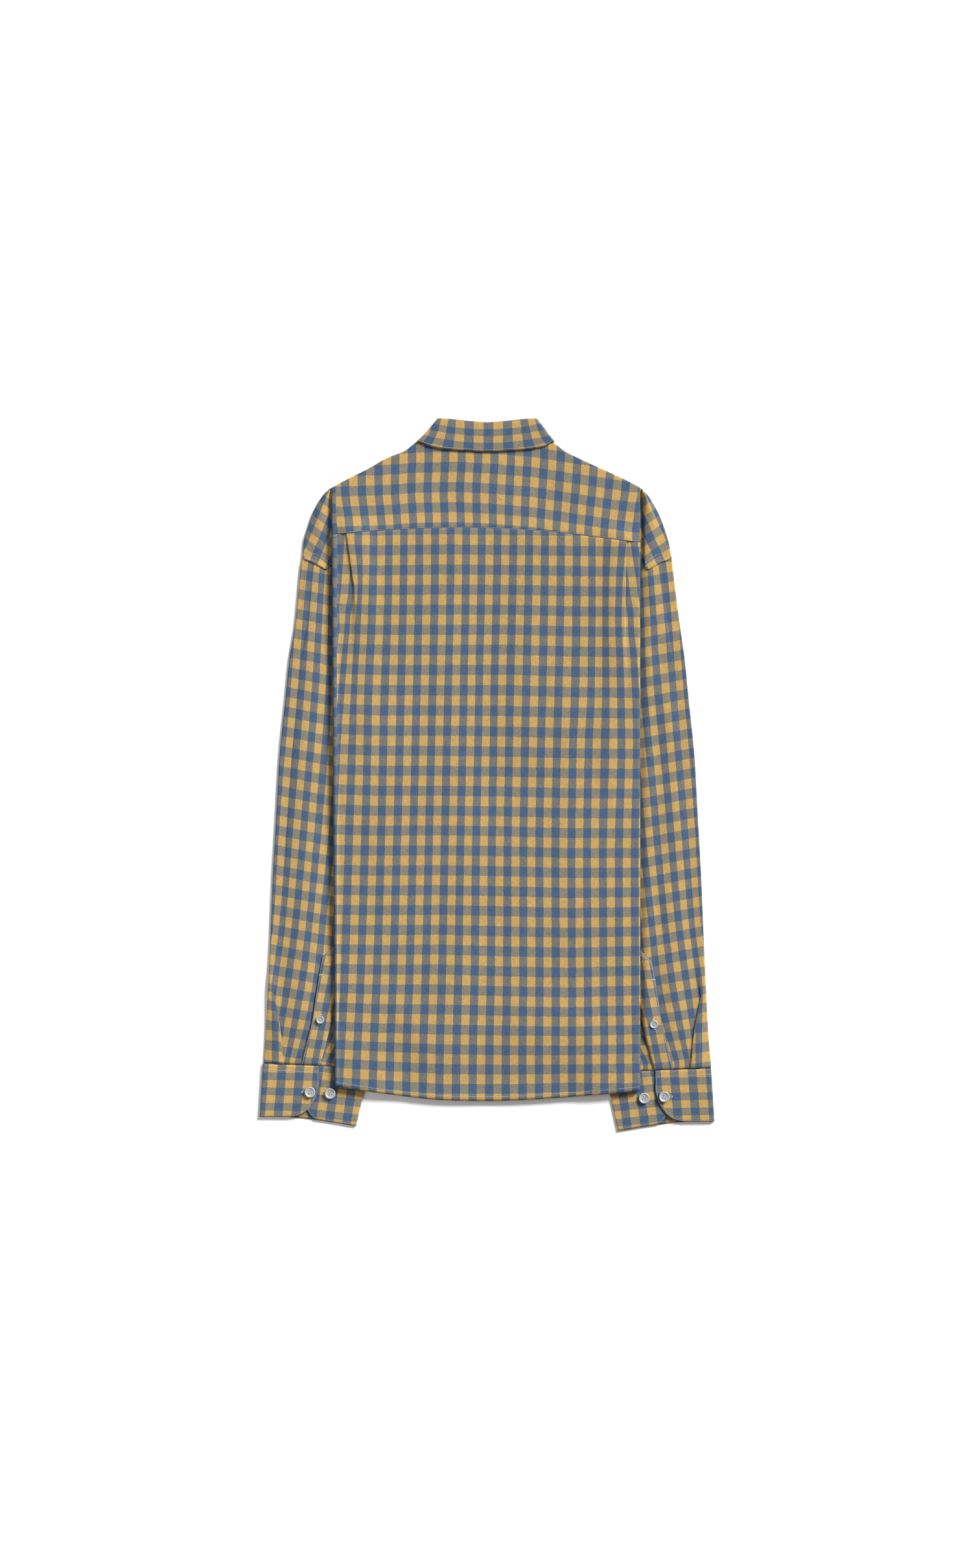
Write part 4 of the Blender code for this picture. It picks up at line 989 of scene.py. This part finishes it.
def makeCuff(side):
    # one strip: the flap, round the outer fold, along below, and round the inner fold to the other end
    def between(spots):
        fine = []
        for a, b in zip(spots, spots[1:]):
            fine += [mix(a, b, t) for t in spread(math.dist(a, b), 3.0)[:-1]]
        return fine + [spots[-1]]

    def turn(fold, start, end, way):
        (topIn, topDown), (lowIn, lowDown) = fold
        reach = halfTurn(-way * abs(start - end) / 2, start, end, way, 8)
        return [np.array((topIn + x, topDown, lowIn + x, lowDown, z)) for x, z in reach]

    flap, under, end = (list(np.array(list(rows.values())).T) for rows in (cuffFlap, cuffUnder, cuffEnd))
    outer = turn(cuffOuterFold, flap[-1][4], under[0][4], -1)
    inner = turn(cuffInnerFold, under[-1][4], end[0][4], 1)
    flapSpots = between(flap + [outer[0]])[:-1]
    strip = flapSpots + outer + between([outer[-1], *under, inner[0]])[1:-1]
    strip += inner + between([inner[-1], *end])[1:]
    topIn, topDown, lowIn, lowDown, height = np.array(strip).T
    t = spread(62, 3.0)[:, None]
    inward, down = mix(topIn, lowIn, t), mix(topDown, lowDown, t)
    across, y = fromCuff(side, inward, down)
    # the flap and the strip below it each lie at their own angle, and the change hides under the fold
    u, v = latticeWeave(inward, down, *cuffWeaves["flap"])
    lowU, lowV = latticeWeave(inward, down, *cuffWeaves["under"])
    t = np.clip((np.arange(len(height)) - len(flapSpots) - 5) / 7, 0, 1)
    u, v = side * mix(u, lowU, t), mix(v, lowV, t)
    return {"x": side * across, "y": y, "z": height + 0 * inward, "u": u, "v": v}


def collarStations(side):
    # from the centre back round to the front: the leaf's top and low edge, the stand's top and low edge,
    # the heights of both, and which part of the collar it is
    found = []
    back, front = collar["leafBack"], collar["leafFront"]
    foldX, foldY = collar["standFold"]
    for x in np.linspace(0, 49, 18):
        top = (x, curve(leafBack, "topY", "topX", x))
        low = [curve(leafBack, name, "topX", x) for name in ("lowX", "lowY")]
        neckX = np.interp(x, leafBack["topX"], standBack["lowX"])
        neck = (neckX, curve(standBack, "lowY", "lowX", neckX))
        found.append((top, low, top, neck, back, collar["standBack"], "back"))
    leafRadius = (back - front) / 2
    standRadius = (collar["standBack"] - collar["standFront"]) / 2
    (topX, topY), (lowX, lowY) = leafFold[side]
    for share in (0.33, 0.67):
        top = (mix(49, topX - leafRadius, share), mix(406.3, topY, share))
        low = (mix(68, lowX - leafRadius, share), mix(375.4, lowY, share))
        neck = (mix(58, foldX - standRadius, share), mix(378.2, foldY, share))
        found.append((top, low, top, neck, back, collar["standBack"], "turn"))
    leafTurn = halfTurn(-leafRadius, back, front, 1, 10)
    standTurn = halfTurn(-leafRadius, collar["standBack"], collar["standFront"], 1, 10)
    for (leafIn, leafZ), (standIn, standZ) in zip(leafTurn, standTurn):
        top, low, standTop = (topX + leafIn, topY), (lowX + leafIn, lowY), (topX + standIn, topY)
        neck = (foldX + standIn + leafRadius - standRadius, foldY)
        found.append((top, low, standTop, neck, leafZ, standZ, "turn"))
    tail = leafTail[side]
    necks = list(zip(*standFront.values()))
    neck = [mix(a, b, 0.4) for a, b in zip(collar["standFold"], necks[0][:2])]
    found.append((tail[:2], tail[2:], tail[:2], neck, front, necks[0][2], "front"))
    for (topX, topY, lowX, lowY), (neckX, neckY, height) in zip(zip(*leafFront.values()), necks):
        centre = 1 - ease((neckX - body["centreHalfWidth"]) / body["centreClimb"])
        height = mix(height, body["centreHeight"][side], centre)
        found.append(((topX, topY), (lowX, lowY), (topX, topY), (neckX, neckY), front, height, "front"))
    return [(*(np.array(spot, float) for spot in row[:4]), *row[4:]) for row in found]


def towardsFold(top, low, standTop, leafZ, standZ):
    # the way up the leaf, and how far below its top edge the roll over the stand begins
    return (top - low) / math.dist(low, top), min(math.dist((*top, leafZ), (*standTop, standZ)) / 2, 1.4)


def collarPatch(columns):
    x, y, z = np.array(columns, float).transpose(2, 1, 0)
    # cut across the cloth; its columns fan out towards the points
    lean = np.clip(-0.28 * (x / 50) ** 3, -0.8, 0.8)
    u = (x - lean * (y - 383) - 1.55) / 22.3 + 0.5
    v = (382.5 + 0.0017 * x * x - y) / (21.1 * pixel)
    return {"x": x, "y": y, "z": z, "u": u, "v": v}


def makeCollarLeaf():
    halves, rolls = [], []
    for side in sides:
        half, roll = [], []
        for top, low, standTop, _, leafZ, standZ, part in collarStations(side):
            up, reach = towardsFold(top, low, standTop, leafZ, standZ)
            shoulder = top - up * reach
            column = np.array([(*mix(low, shoulder, k / 11), leafZ) for k in range(12)])
            if part == "turn" and side == left:
                column[:, 0] -= 1.6 * np.sin(math.pi * np.arange(12) / 11)
            over = [column[-1]]
            for a in math.pi * np.arange(1, 9) / 8:
                share = (1 - math.cos(a)) / 2
                spot = mix(top, standTop, share) + up * (reach * (math.sin(a) - 1))
                over.append((*spot, mix(leafZ, standZ, share)))
            half.append(column * (side, 1, 1))
            roll.append(np.array(over) * (side, 1, 1))
        halves.append(half)
        rolls.append(roll)
    return [collarPatch(columns) for columns in (halves[0][::-1] + halves[1][1:], *rolls)]


def makeCollarStand():
    halves = []
    for side in sides:
        half = []
        for leafTop, leafLow, top, low, leafZ, height, _ in collarStations(side):
            up, reach = towardsFold(leafTop, leafLow, top, leafZ, height)
            end = top - up * (reach + 0.6)
            half.append([(*mix(low, end, k / 8), height) for k in range(9)])
        for lowX, topX, topY in zip(*standEnd.values()):
            low, top = np.array((lowX, float(frontTop(lowX)) + 0.6)), np.array((topX, topY))
            half.append([(*mix(low, top, k / 8), body["centreHeight"][side]) for k in range(9)])
        halves.append([np.array(column) * (side, 1, 1) for column in half])
    return collarPatch(halves[0][::-1] + halves[1][1:])


def addNode(tree, kind, inputs, output=0, **settings):
    # one node with its settings; an input is a value or the socket that feeds it
    made = tree.nodes.new("ShaderNode" + kind)
    for key, value in settings.items():
        setattr(made, key, value)
    for key, value in inputs.items():
        if isinstance(value, bpy.types.NodeSocket):
            tree.links.new(value, made.inputs[key])
        else:
            made.inputs[key].default_value = value
    return made.outputs[output]


gingham = {
    # yarn-dyed linen, plain weave: matte, a little hairy, slubs of uneven yarn, no sheen
    "ochre": "b39156",
    "blue": "405570",
    "overOchre": "787364",  # ochre warp crossed by blue weft
    "overBlue": "636563",  # blue warp crossed by ochre weft
    "roughness": 0.9,
    "threadMm": 0.7,  # real yarns are 0.5 mm apart: drawn coarser so that they show
    "slubLength": 7,  # a thicker stretch of yarn, in threads
    "speckle": 0.1,  # how far single yarns show where two colours cross
    "edgeSharpness": 7.0,
    "stray": 0.05,  # of a check, how far a yarn strays from its line
    "reliefStrength": 0.3,
    "reliefMm": 0.4,
}


def startMaterial(name, roughness, ior):
    made = bpy.data.materials.new(name)
    made.use_nodes = True
    shader = made.node_tree.nodes["Principled BSDF"]
    shader.inputs["Roughness"].default_value = roughness
    shader.inputs["IOR"].default_value = ior
    return made, made.node_tree, shader


def weaveMaterial(name, facts):
    made, tree, shader = startMaterial(name, facts["roughness"], 1.53)
    shader.inputs["Specular IOR Level"].default_value = 0.15
    uv = addNode(tree, "UVMap", {}, uv_map="weave")
    place = addNode(tree, "TexCoord", {}, "Object")

    # every yarn strays a little from its line; then 1 on an ochre stripe and 0 on a blue one
    stray = addNode(tree, "TexNoise", {"Vector": place, "Scale": 140.0, "Detail": 2.0}, "Color")
    byHow = {0: stray, 1: (facts["stray"], facts["stray"], 0.0), 2: uv}
    strayed = addNode(tree, "VectorMath", byHow, operation="MULTIPLY_ADD")
    stripes = []
    for axis in "XY":
        line = addNode(tree, "SeparateXYZ", {0: strayed}, axis)
        turn = addNode(tree, "Math", {0: line, 1: 2 * math.pi, 2: -0.05 * math.pi}, operation="MULTIPLY_ADD")
        wave = addNode(tree, "Math", {0: turn}, operation="COSINE")
        steep = {0: wave, 1: facts["edgeSharpness"], 2: 0.5}
        stripes.append(addNode(tree, "Math", steep, operation="MULTIPLY_ADD", use_clamp=True))
    warp, weft = stripes

    # yarns lighter and darker thread by thread, with long slubs each way, and a speck where threads cross
    threads = np.array((check["width"], check["height"])) / facts["threadMm"]
    long = 1 / facts["slubLength"]
    yarns = []
    for seed, scale in ((0.3, (1, long)), (4.1, (long, 1)), (8.7, (1.3, 1.3))):
        scaled = addNode(tree, "VectorMath", {0: uv, 1: (*(threads * scale), 1.0)}, operation="MULTIPLY")
        noise = {"Vector": scaled, "W": seed, "Scale": 1.0, "Detail": 1.0, "Roughness": 0.6}
        yarns.append(addNode(tree, "TexNoise", noise, noise_dimensions="4D"))
    down, over, speck = yarns
    both = addNode(tree, "Math", {0: down, 1: over}, operation="ADD")
    mottle = addNode(tree, "Math", {0: both, 1: 0.7, 2: speck}, operation="MULTIPLY_ADD")

    ochre, blue = linear(facts["ochre"]), linear(facts["blue"])
    overOchre, overBlue = linear(facts["overOchre"]), linear(facts["overBlue"])
    onOchre = addNode(tree, "Mix", {0: weft, 6: overOchre, 7: ochre}, 2, data_type="RGBA")
    onBlue = addNode(tree, "Mix", {0: weft, 6: blue, 7: overBlue}, 2, data_type="RGBA")
    colour = addNode(tree, "Mix", {0: warp, 6: onBlue, 7: onOchre}, 2, data_type="RGBA")
    onTop = addNode(tree, "Math", {0: speck, 1: 5.0, 2: -2.0}, operation="MULTIPLY_ADD", use_clamp=True)
    yarn = addNode(tree, "Mix", {0: onTop, 6: blue, 7: ochre}, 2, data_type="RGBA")
    differ = addNode(tree, "Math", {0: warp, 1: weft}, operation="SUBTRACT")
    crossed = addNode(tree, "Math", {0: differ, 1: differ}, operation="MULTIPLY")
    shows = addNode(tree, "Math", {0: crossed, 1: facts["speckle"]}, operation="MULTIPLY")
    colour = addNode(tree, "Mix", {0: shows, 6: colour, 7: yarn}, 2, data_type="RGBA")
    thick = addNode(tree, "Math", {0: mottle, 1: 0.75, 2: 0.1}, operation="MULTIPLY_ADD")
    slow = addNode(tree, "TexNoise", {"Vector": place, "Scale": 9.0, "Detail": 3.0})
    uneven = addNode(tree, "Math", {0: slow, 1: 0.16, 2: 0.92}, operation="MULTIPLY_ADD")
    shade = addNode(tree, "Math", {0: thick, 1: uneven}, operation="MULTIPLY")
    shaded = addNode(tree, "VectorMath", {0: colour, "Scale": shade}, operation="SCALE")
    tree.links.new(shaded, shader.inputs["Base Color"])
    relief = {"Height": mottle, "Strength": facts["reliefStrength"], "Distance": facts["reliefMm"] * mm}
    bump = addNode(tree, "Bump", relief)
    tree.links.new(bump, shader.inputs["Normal"])
    return made


linen = weaveMaterial("yarnDyedLinen", gingham)
print("materials made")


shown = {}


def dress(key, name, patches, node, shell=cloth["shell"]):
    made = sew(name, patches, shell)
    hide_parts(node)
    shown[key] = made


dress("back", "backPanel", [makeBack()], "back")
dress("yoke", "backYoke", makeYoke(), "yoke")
print("back and yoke sewn")
for side, word in sides.items():
    end = word.title()
    dress("shoulder" + word, "shoulderEnd" + end, makeShoulderEnd(side), "shoulder_end_" + word)
    dress("front" + word, "frontPanel" + end, [makeFront(side)], "front_" + word)
    dress("sleeve" + word, "sleeveCloth" + end, [makeSleeve(side)], "sleeve_" + word)
    dress("placket" + word, "sleeveOpening" + end, [makePlacket(side)], "sleeve_placket_" + word)
    dress("cuff" + word, "cuffStrip" + end, [makeCuff(side)], "cuff_" + word, cloth["firmShell"])
print("fronts, sleeves and cuffs sewn")
dress("leaf", "collarLeaf", makeCollarLeaf(), "collar_leaf", cloth["firmShell"])
dress("stand", "collarStand", [makeCollarStand()], "collar_stand", cloth["firmShell"])
print("collar sewn")


resin = {
    # cast polyester buttons: pale grey, smooth and softly glossy, a faint cloud through them
    "colour": "a8aaab",
    "cloud": "999c9e",
    "roughness": 0.38,
    "ior": 1.56,
    "grain": 260.0,
}
thread = {
    # core-spun polyester sewing thread: off-white, round, a slight lustre
    "colour": "b9bfc6",
    "cloud": "9ba6b4",
    "roughness": 0.6,
    "ior": 1.5,
    "grain": 900.0,
    "width": 0.5,
    "pitch": 1.7,
    "mostClimb": 0.7,  # a stitch that would climb more than this is left out
    # along a stitch: the place, the thickness and how far it sinks, all shares
    "rings": ((0.0, 0.35, 0.5), (0.14, 0.85, 0.1), (0.5, 1.0, 0.0), (0.86, 0.85, 0.1), (1.0, 0.35, 0.5)),
    "filled": 0.74,  # share of the pitch that lies on top of the cloth
}


def cloudyMaterial(name, facts, bumpMm=0.0):
    made, tree, shader = startMaterial(name, facts["roughness"], facts["ior"])
    place = addNode(tree, "TexCoord", {}, "Object")
    noise = addNode(tree, "TexNoise", {"Vector": place, "Scale": facts["grain"], "Detail": 3.0})
    colour = addNode(tree, "Mix", {0: noise, 6: linear(facts["colour"]), 7: linear(facts["cloud"])}, 2,
                     data_type="RGBA")
    tree.links.new(colour, shader.inputs["Base Color"])
    if bumpMm:
        bump = addNode(tree, "Bump", {"Height": noise, "Strength": 0.5, "Distance": bumpMm * mm})
        tree.links.new(bump, shader.inputs["Normal"])
    return made


castResin = cloudyMaterial("castPolyesterResin", resin)
sewingThread = cloudyMaterial("coreSpunThread", thread, 0.08)


button = {
    # radius and height of each ring of the turned face, shares of the button's own
    "face": ((0.0, 0.70), (0.30, 0.70), (0.60, 0.72), (0.68, 0.76), (0.74, 0.90), (0.80, 0.99), (0.87, 1.0),
             (0.94, 0.95), (0.985, 0.82), (1.0, 0.62), (0.98, 0.34), (0.92, 0.14), (0.82, 0.03), (0.70, 0.0)),
    "sides": 48,
    "holeFrom": 0.22,  # centre of each hole along x and y
    "holeRadius": 0.115,
    "holeDepth": (1.4, 0.4),  # from above the face down
    "holeSides": 14,
    "turned": {"left": 12, "right": -15},  # degrees
    "thread": 0.42,
}


def solidOfRings(rings, count):
    # rings of (radius, height), from the middle of the face out and down
    points, faces = [], []
    for radius, height in rings:
        for k in range(count):
            a = 2 * math.pi * k / count
            points.append((radius * math.cos(a) * mm, radius * math.sin(a) * mm, height * mm))
    for i in range(len(rings) - 1):
        for k in range(count):
            a, b = i * count + k, i * count + (k + 1) % count
            faces.append((a, a + count, b + count, b))
    faces.append(tuple(range(count)))
    faces.append(tuple(reversed(range((len(rings) - 1) * count, len(rings) * count))))
    return points, faces


def makeButtonMesh(radius, height):
    turned = [(max(r, 0.02) * radius, h * height) for r, h in button["face"]]
    blank = addObject("buttonBlank", makeMesh("buttonBlank", *solidOfRings(turned, button["sides"])))
    hole = [(button["holeRadius"] * radius, height * h) for h in button["holeDepth"]]
    shift = button["holeFrom"] * radius * mm
    points, faces = [], []
    for sx in (-1, 1):
        for sy in (-1, 1):
            ring, ringFaces = solidOfRings(hole, button["holeSides"])
            faces += [tuple(i + len(points) for i in face) for face in ringFaces]
            points += [(x + sx * shift, y + sy * shift, z) for x, y, z in ring]
    drill = addObject("drill", makeMesh("drill", points, faces))
    for each in (blank, drill):
        faceOut(each.data)
    cut = blank.modifiers.new("holes", "BOOLEAN")
    cut.object, cut.operation, cut.solver = drill, "DIFFERENCE", "EXACT"
    made = bpy.data.meshes.new_from_object(blank.evaluated_get(bpy.context.evaluated_depsgraph_get()))
    bpy.data.objects.remove(blank, do_unlink=True)
    bpy.data.objects.remove(drill, do_unlink=True)
    made.materials.clear()
    made.materials.append(castResin)
    made.polygons.foreach_set("use_smooth", [True] * len(made.polygons))
    made.set_sharp_from_angle(angle=math.radians(40))
    return made


def threadBar(start, end, width, normal=(0, 0, 1)):
    # one stitch as a rounded bar: rings of six points, thin and sunk at both ends
    start, end, normal = np.array(start, float), np.array(end, float), np.array(normal, float)
    reach = end - start
    way = reach / np.linalg.norm(reach)
    beside = np.cross(normal, way)
    beside /= np.linalg.norm(beside)
    up = np.cross(way, beside)
    points, faces = [], []
    for share, size, sink in thread["rings"]:
        middle = start + reach * share - up * width * 0.5 * sink
        for k in range(6):
            a = math.pi * k / 3 + math.pi / 6
            points.append((middle + (beside * math.cos(a) + up * math.sin(a) * 0.75) * width / 2 * size) * mm)
    for a in range(24):
        b = a - a % 6 + (a + 1) % 6
        faces.append((a, b, b + 6, a + 6))
    return points, faces + [(5, 4, 3, 2, 1, 0), (24, 25, 26, 27, 28, 29)]


sewnOn = {}  # the stitches on each piece


def threadPiece(name, stitches, key=None):
    points, faces = [], []
    for ownPoints, ownFaces in stitches:
        faces += [tuple(i + len(points) for i in face) for face in ownFaces]
        points += ownPoints
    made = addPiece(name, makeMesh(name, points, faces), sewingThread)
    sewnOn.setdefault(key, []).append(made)


visibleButtons = [(f"{kind}_{word}", radius, height) for kind, radius, height in (
    ("cuff_button_fastened", 6.2, 2.4), ("cuff_button_spare", 6.2, 2.4), ("placket_button", 4.6, 2.0))
    for word in sides.values()]
buttonMeshes = {}
buttonSpots = {}
for node, radius, height in visibleButtons:
    if radius not in buttonMeshes:
        buttonMeshes[radius] = makeButtonMesh(radius, height)
    low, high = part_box(node)
    spot = np.array(((low[0] + high[0]) / 2, (low[1] + high[1]) / 2, low[2])) / mm
    buttonSpots[node] = spot
    words = node.split("_")
    name = "resin" + "".join(word.title() for word in words)
    made = addObject(name, buttonMeshes[radius])
    turn = math.radians(button["turned"][words[-1]])
    made.location = [float(v) * mm for v in spot]
    made.rotation_euler = (0, 0, turn)
    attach(made, "root")
    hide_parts(node)
    crossed = []
    for k, rise in ((1, 0.0), (3, 0.08)):
        a = turn + math.pi * k / 4
        reach = np.array((math.cos(a), math.sin(a), 0)) * (button["holeFrom"] * radius) * 1.41 * 0.8
        middle = spot + np.array((0, 0, height * 0.72 + rise))
        crossed.append(threadBar(middle - reach, middle + reach, button["thread"]))
    threadPiece(name + "Thread", crossed)
for node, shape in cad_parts.items():
    if "front_button" in node or node == "collar_button":
        for slotAt in shape.material_slots:
            slotAt.material = castResin
print("buttons turned and sewn on")

depsgraph = bpy.context.evaluated_depsgraph_get()
depsgraph.update()
trees = {key: BVHTree.FromObject(made, depsgraph) for key, made in shown.items() if key[:5] != "front"}


def topOf(keys, x, y):
    # the cloth's upper side at a point on the page, and the way it faces
    hits = [trees[key].ray_cast(Vector((x * mm, y * mm, 0.05)), Vector((0, 0, -1)))[:2] for key in keys]
    hits = [hit for hit in hits if hit[0] is not None]
    if not hits:
        return None
    spot, normal = max(hits, key=lambda hit: hit[0].z)
    return spot.z / mm, np.array(normal) * (1 if normal.z > 0 else -1)


def stitch(name, path, keys, pitch=thread["pitch"]):
    # even stitches along a path on the page, each lying on the cloth below it
    x, y = np.array(path, float).T
    run = lengthAlong(x, y)
    count = max(int(run[-1] / pitch), 1)
    filled = thread["filled"]
    stitches = []
    draw = random.Random(len(name) * 7 + count)
    for k in range(count):
        start = (k + (1 - filled) / 2 + draw.uniform(-0.04, 0.04)) * run[-1] / count
        ends = []
        for at in (start, start + filled * run[-1] / count):
            spot = (np.interp(at, run, x), np.interp(at, run, y))
            found = topOf(keys, *spot)
            if found:
                ends.append((np.array((*spot, found[0] + 0.14)), found[1]))
        if len(ends) == 2 and abs(ends[0][0][2] - ends[1][0][2]) < thread["mostClimb"]:
            stitches.append(threadBar(ends[0][0], ends[1][0], thread["width"], ends[0][1]))
    threadPiece(name, stitches, keys[0])


def smoothPath(points, step=4.0):
    x, y = np.array(points, float).T
    run = lengthAlong(x, y)
    at = np.linspace(0, run[-1], max(int(run[-1] / step), 2) + 1)
    return np.stack([smooth(run, x, at), smooth(run, y, at)], 1)


across = np.linspace(-170.5, 172, 120)
stitch("yokeTopstitch", np.stack([across, seamY(across) + 0.9], 1), ("yoke",))
across = np.linspace(-175, 176, 120)
stitch("hemTopstitch", np.stack([across, hemY(across) + 4.8], 1), ("back",), 2.0)
leafEdge = [(x, curve(leafBack, "lowY", "lowX", abs(x)) + 2.0) for x in np.linspace(-66, 66, 60)]
stitch("collarTopstitch", [(-79.3, 382.4), (-73, 379.8), *leafEdge, (71, 379.0), (76, 382.0)], ("leaf",))

# inwards and down from the cuff's outer top corner
cuffStitching = {
    "Top": ((-0.5, 7.2), (30, 8.5), (62.4, 9.9)),
    "Edge": ((62.4, 10.5), (62.4, 23.2), (60.5, 34.4), (56.2, 43.5), (49.4, 52.4), (39.9, 58.4), (30.6, 59.8),
             (14.0, 59.8), (-3.0, 59.8)),
    "UnderTop": ((65.5, 10.8), (84, 11.7), (112, 12.9)),
    "UnderLow": ((66.0, 63.6), (78, 65.6), (92, 67.8), (104.6, 69.9)),
    "UnderEnd": ((51.5, 53.0), (53.6, 57.0), (56.3, 60.2), (60.5, 62.8)),
}
placketStitching = {
    "Seam": ((43.9, 0.0), (50.2, -25), (56.6, -51), (60.1, -74), (64.4, -101), (68.4, -123), (79.8, -131.6)),
    "Point": ((79.8, -131.6), (90.6, -123.6), (88.0, -104.0)),
}
armholeStitching = ((209.6, 254.2), (203.9, 253.7), (197.6, 252.5), (189.8, 248.4), (181.1, 242.4),
    (177.0, 239.6))


def cuffPath(side, points, shift=0.0):
    spots = [fromCuff(side, *point) for point in points]
    return smoothPath([(side * across, y + shift) for across, y in spots])


for side, word in sides.items():
    end = word.title()
    for part, points in cuffStitching.items():
        stitch(f"cuff{part}Stitch{end}", cuffPath(side, points), ("cuff" + word,))
    path = smoothPath([(side * x, y) for x, y in armholeStitching])
    stitch("armholeStitch" + end, path, ("shoulder" + word,))
    for part, points in placketStitching.items():
        path = cuffPath(side, points, sleeveFacts["cuffSlope"] * -60 + 0.3)
        stitch(f"sleeveOpening{part}Stitch{end}", path, ("placket" + word,))


def tack(name, middles, way, length, keys, width=0.5):
    # short bars side by side: a bar tack or the worked edge of a buttonhole
    half = np.array((*way, 0)) * length / 2
    found = [(x, y, topOf(keys, x, y)) for x, y in middles]
    spots = [(np.array((x, y, top[0] + 0.15)), top[1]) for x, y, top in found if top]
    threadPiece(name, [threadBar(spot - half, spot + half, width, normal) for spot, normal in spots], keys[0])


for side, word in sides.items():
    end = word.title()
    x, y, _ = buttonSpots["cuff_button_fastened_" + word]
    for edge, shift in (("Upper", 0.6), ("Lower", -0.6)):
        spots = [(x + side * d, y + shift) for d in np.arange(-4.0, 9.0, 0.36)]
        tack(f"cuffButtonhole{edge}{end}", spots, (0, 1), 0.8, ("cuff" + word,), 0.34)
    tack(f"cuffButtonholeEnd{end}", [(x + side * d, y) for d in (9.1, 9.5)], (0, 1), 2.2, ("cuff" + word,))
    spot = buttonSpots["placket_button_" + word][:2]
    tilt = np.array((side * -0.17, 0.985))
    for edge, reach in (("Top", 6.0), ("Low", -6.0)):
        spots = [spot + tilt * reach, spot + tilt * reach - tilt * 0.5 * np.sign(reach)]
        tack(f"sleeveButtonhole{edge}{end}", spots, (tilt[1], -tilt[0]), 2.4, ("placket" + word,), 0.6)
    across, y = fromCuff(side, 66.0, -101.0)
    tack("sleeveBarTack" + end, [(side * across, y + d) for d in (0.0, 0.5)], (1, 0), 5.4,
         ("placket" + word, "sleeve" + word), 0.6)
print("topstitched")

for key, piece in shown.items():
    word = "right" if key.endswith("right") else "left" if key.endswith("left") else ""


studio = {
    "floorColour": "fbfbfa",  # smooth matt paper, barely off white
    "floorSize": 20.0,
    "cameraHeight": 4.978,
    "lens": 100.0,
    "sensor": 36.0,
    "lights": (
        # name, kind, place, size, power: the far one comes from the upper right, so shadows fall lower left
        ("farSoftbox", "SUN", (1.3, 1.3, 0.98), math.radians(20), 6.6),
        ("softboxLeft", "AREA", (-2.1, -0.3, 1.4), 1.1, 16.0),
    ),
    "world": 0.24,
}

paper, tree, shader = startMaterial("palePaper", 0.9, 1.5)
shader.inputs["Base Color"].default_value = linear(studio["floorColour"])
half = studio["floorSize"] / 2
corners = [(-half, -half, 0), (half, -half, 0), (half, half, 0), (-half, half, 0)]
floor = addObject("floor", makeMesh("floor", corners, [(0, 1, 2, 3)]))
floor.data.materials.append(paper)

world = bpy.data.worlds.new("studio")
bpy.context.scene.world = world
world.use_nodes = True
background = world.node_tree.nodes["Background"]
background.inputs["Color"].default_value = (1.0, 1.0, 1.0, 1.0)
background.inputs["Strength"].default_value = studio["world"]

for name, kind, place, size, power in studio["lights"]:
    lamp = bpy.data.lights.new(name, kind)
    setattr(lamp, "angle" if kind == "SUN" else "size", size)
    lamp.energy = power
    made = addObject(name, lamp)
    made.location = place
    made.rotation_euler = (-Vector(place)).to_track_quat("-Z", "Y").to_euler()
bpy.context.scene.view_settings.view_transform = "Standard"  # white paper stays white

lens = bpy.data.cameras.new("camera")
lens.lens = studio["lens"]
lens.sensor_fit = "VERTICAL"
lens.sensor_height = studio["sensor"]
camera = addObject("camera", lens)
# the photo's centre is at pixel (756, 1210): the shirt's middle is a little up and left of it
camera.location = ((756 - 751.5) * pixel * mm, (1195.5 - 1210) * pixel * mm, studio["cameraHeight"])
bpy.context.scene.camera = camera
print("floor, light and camera placed")
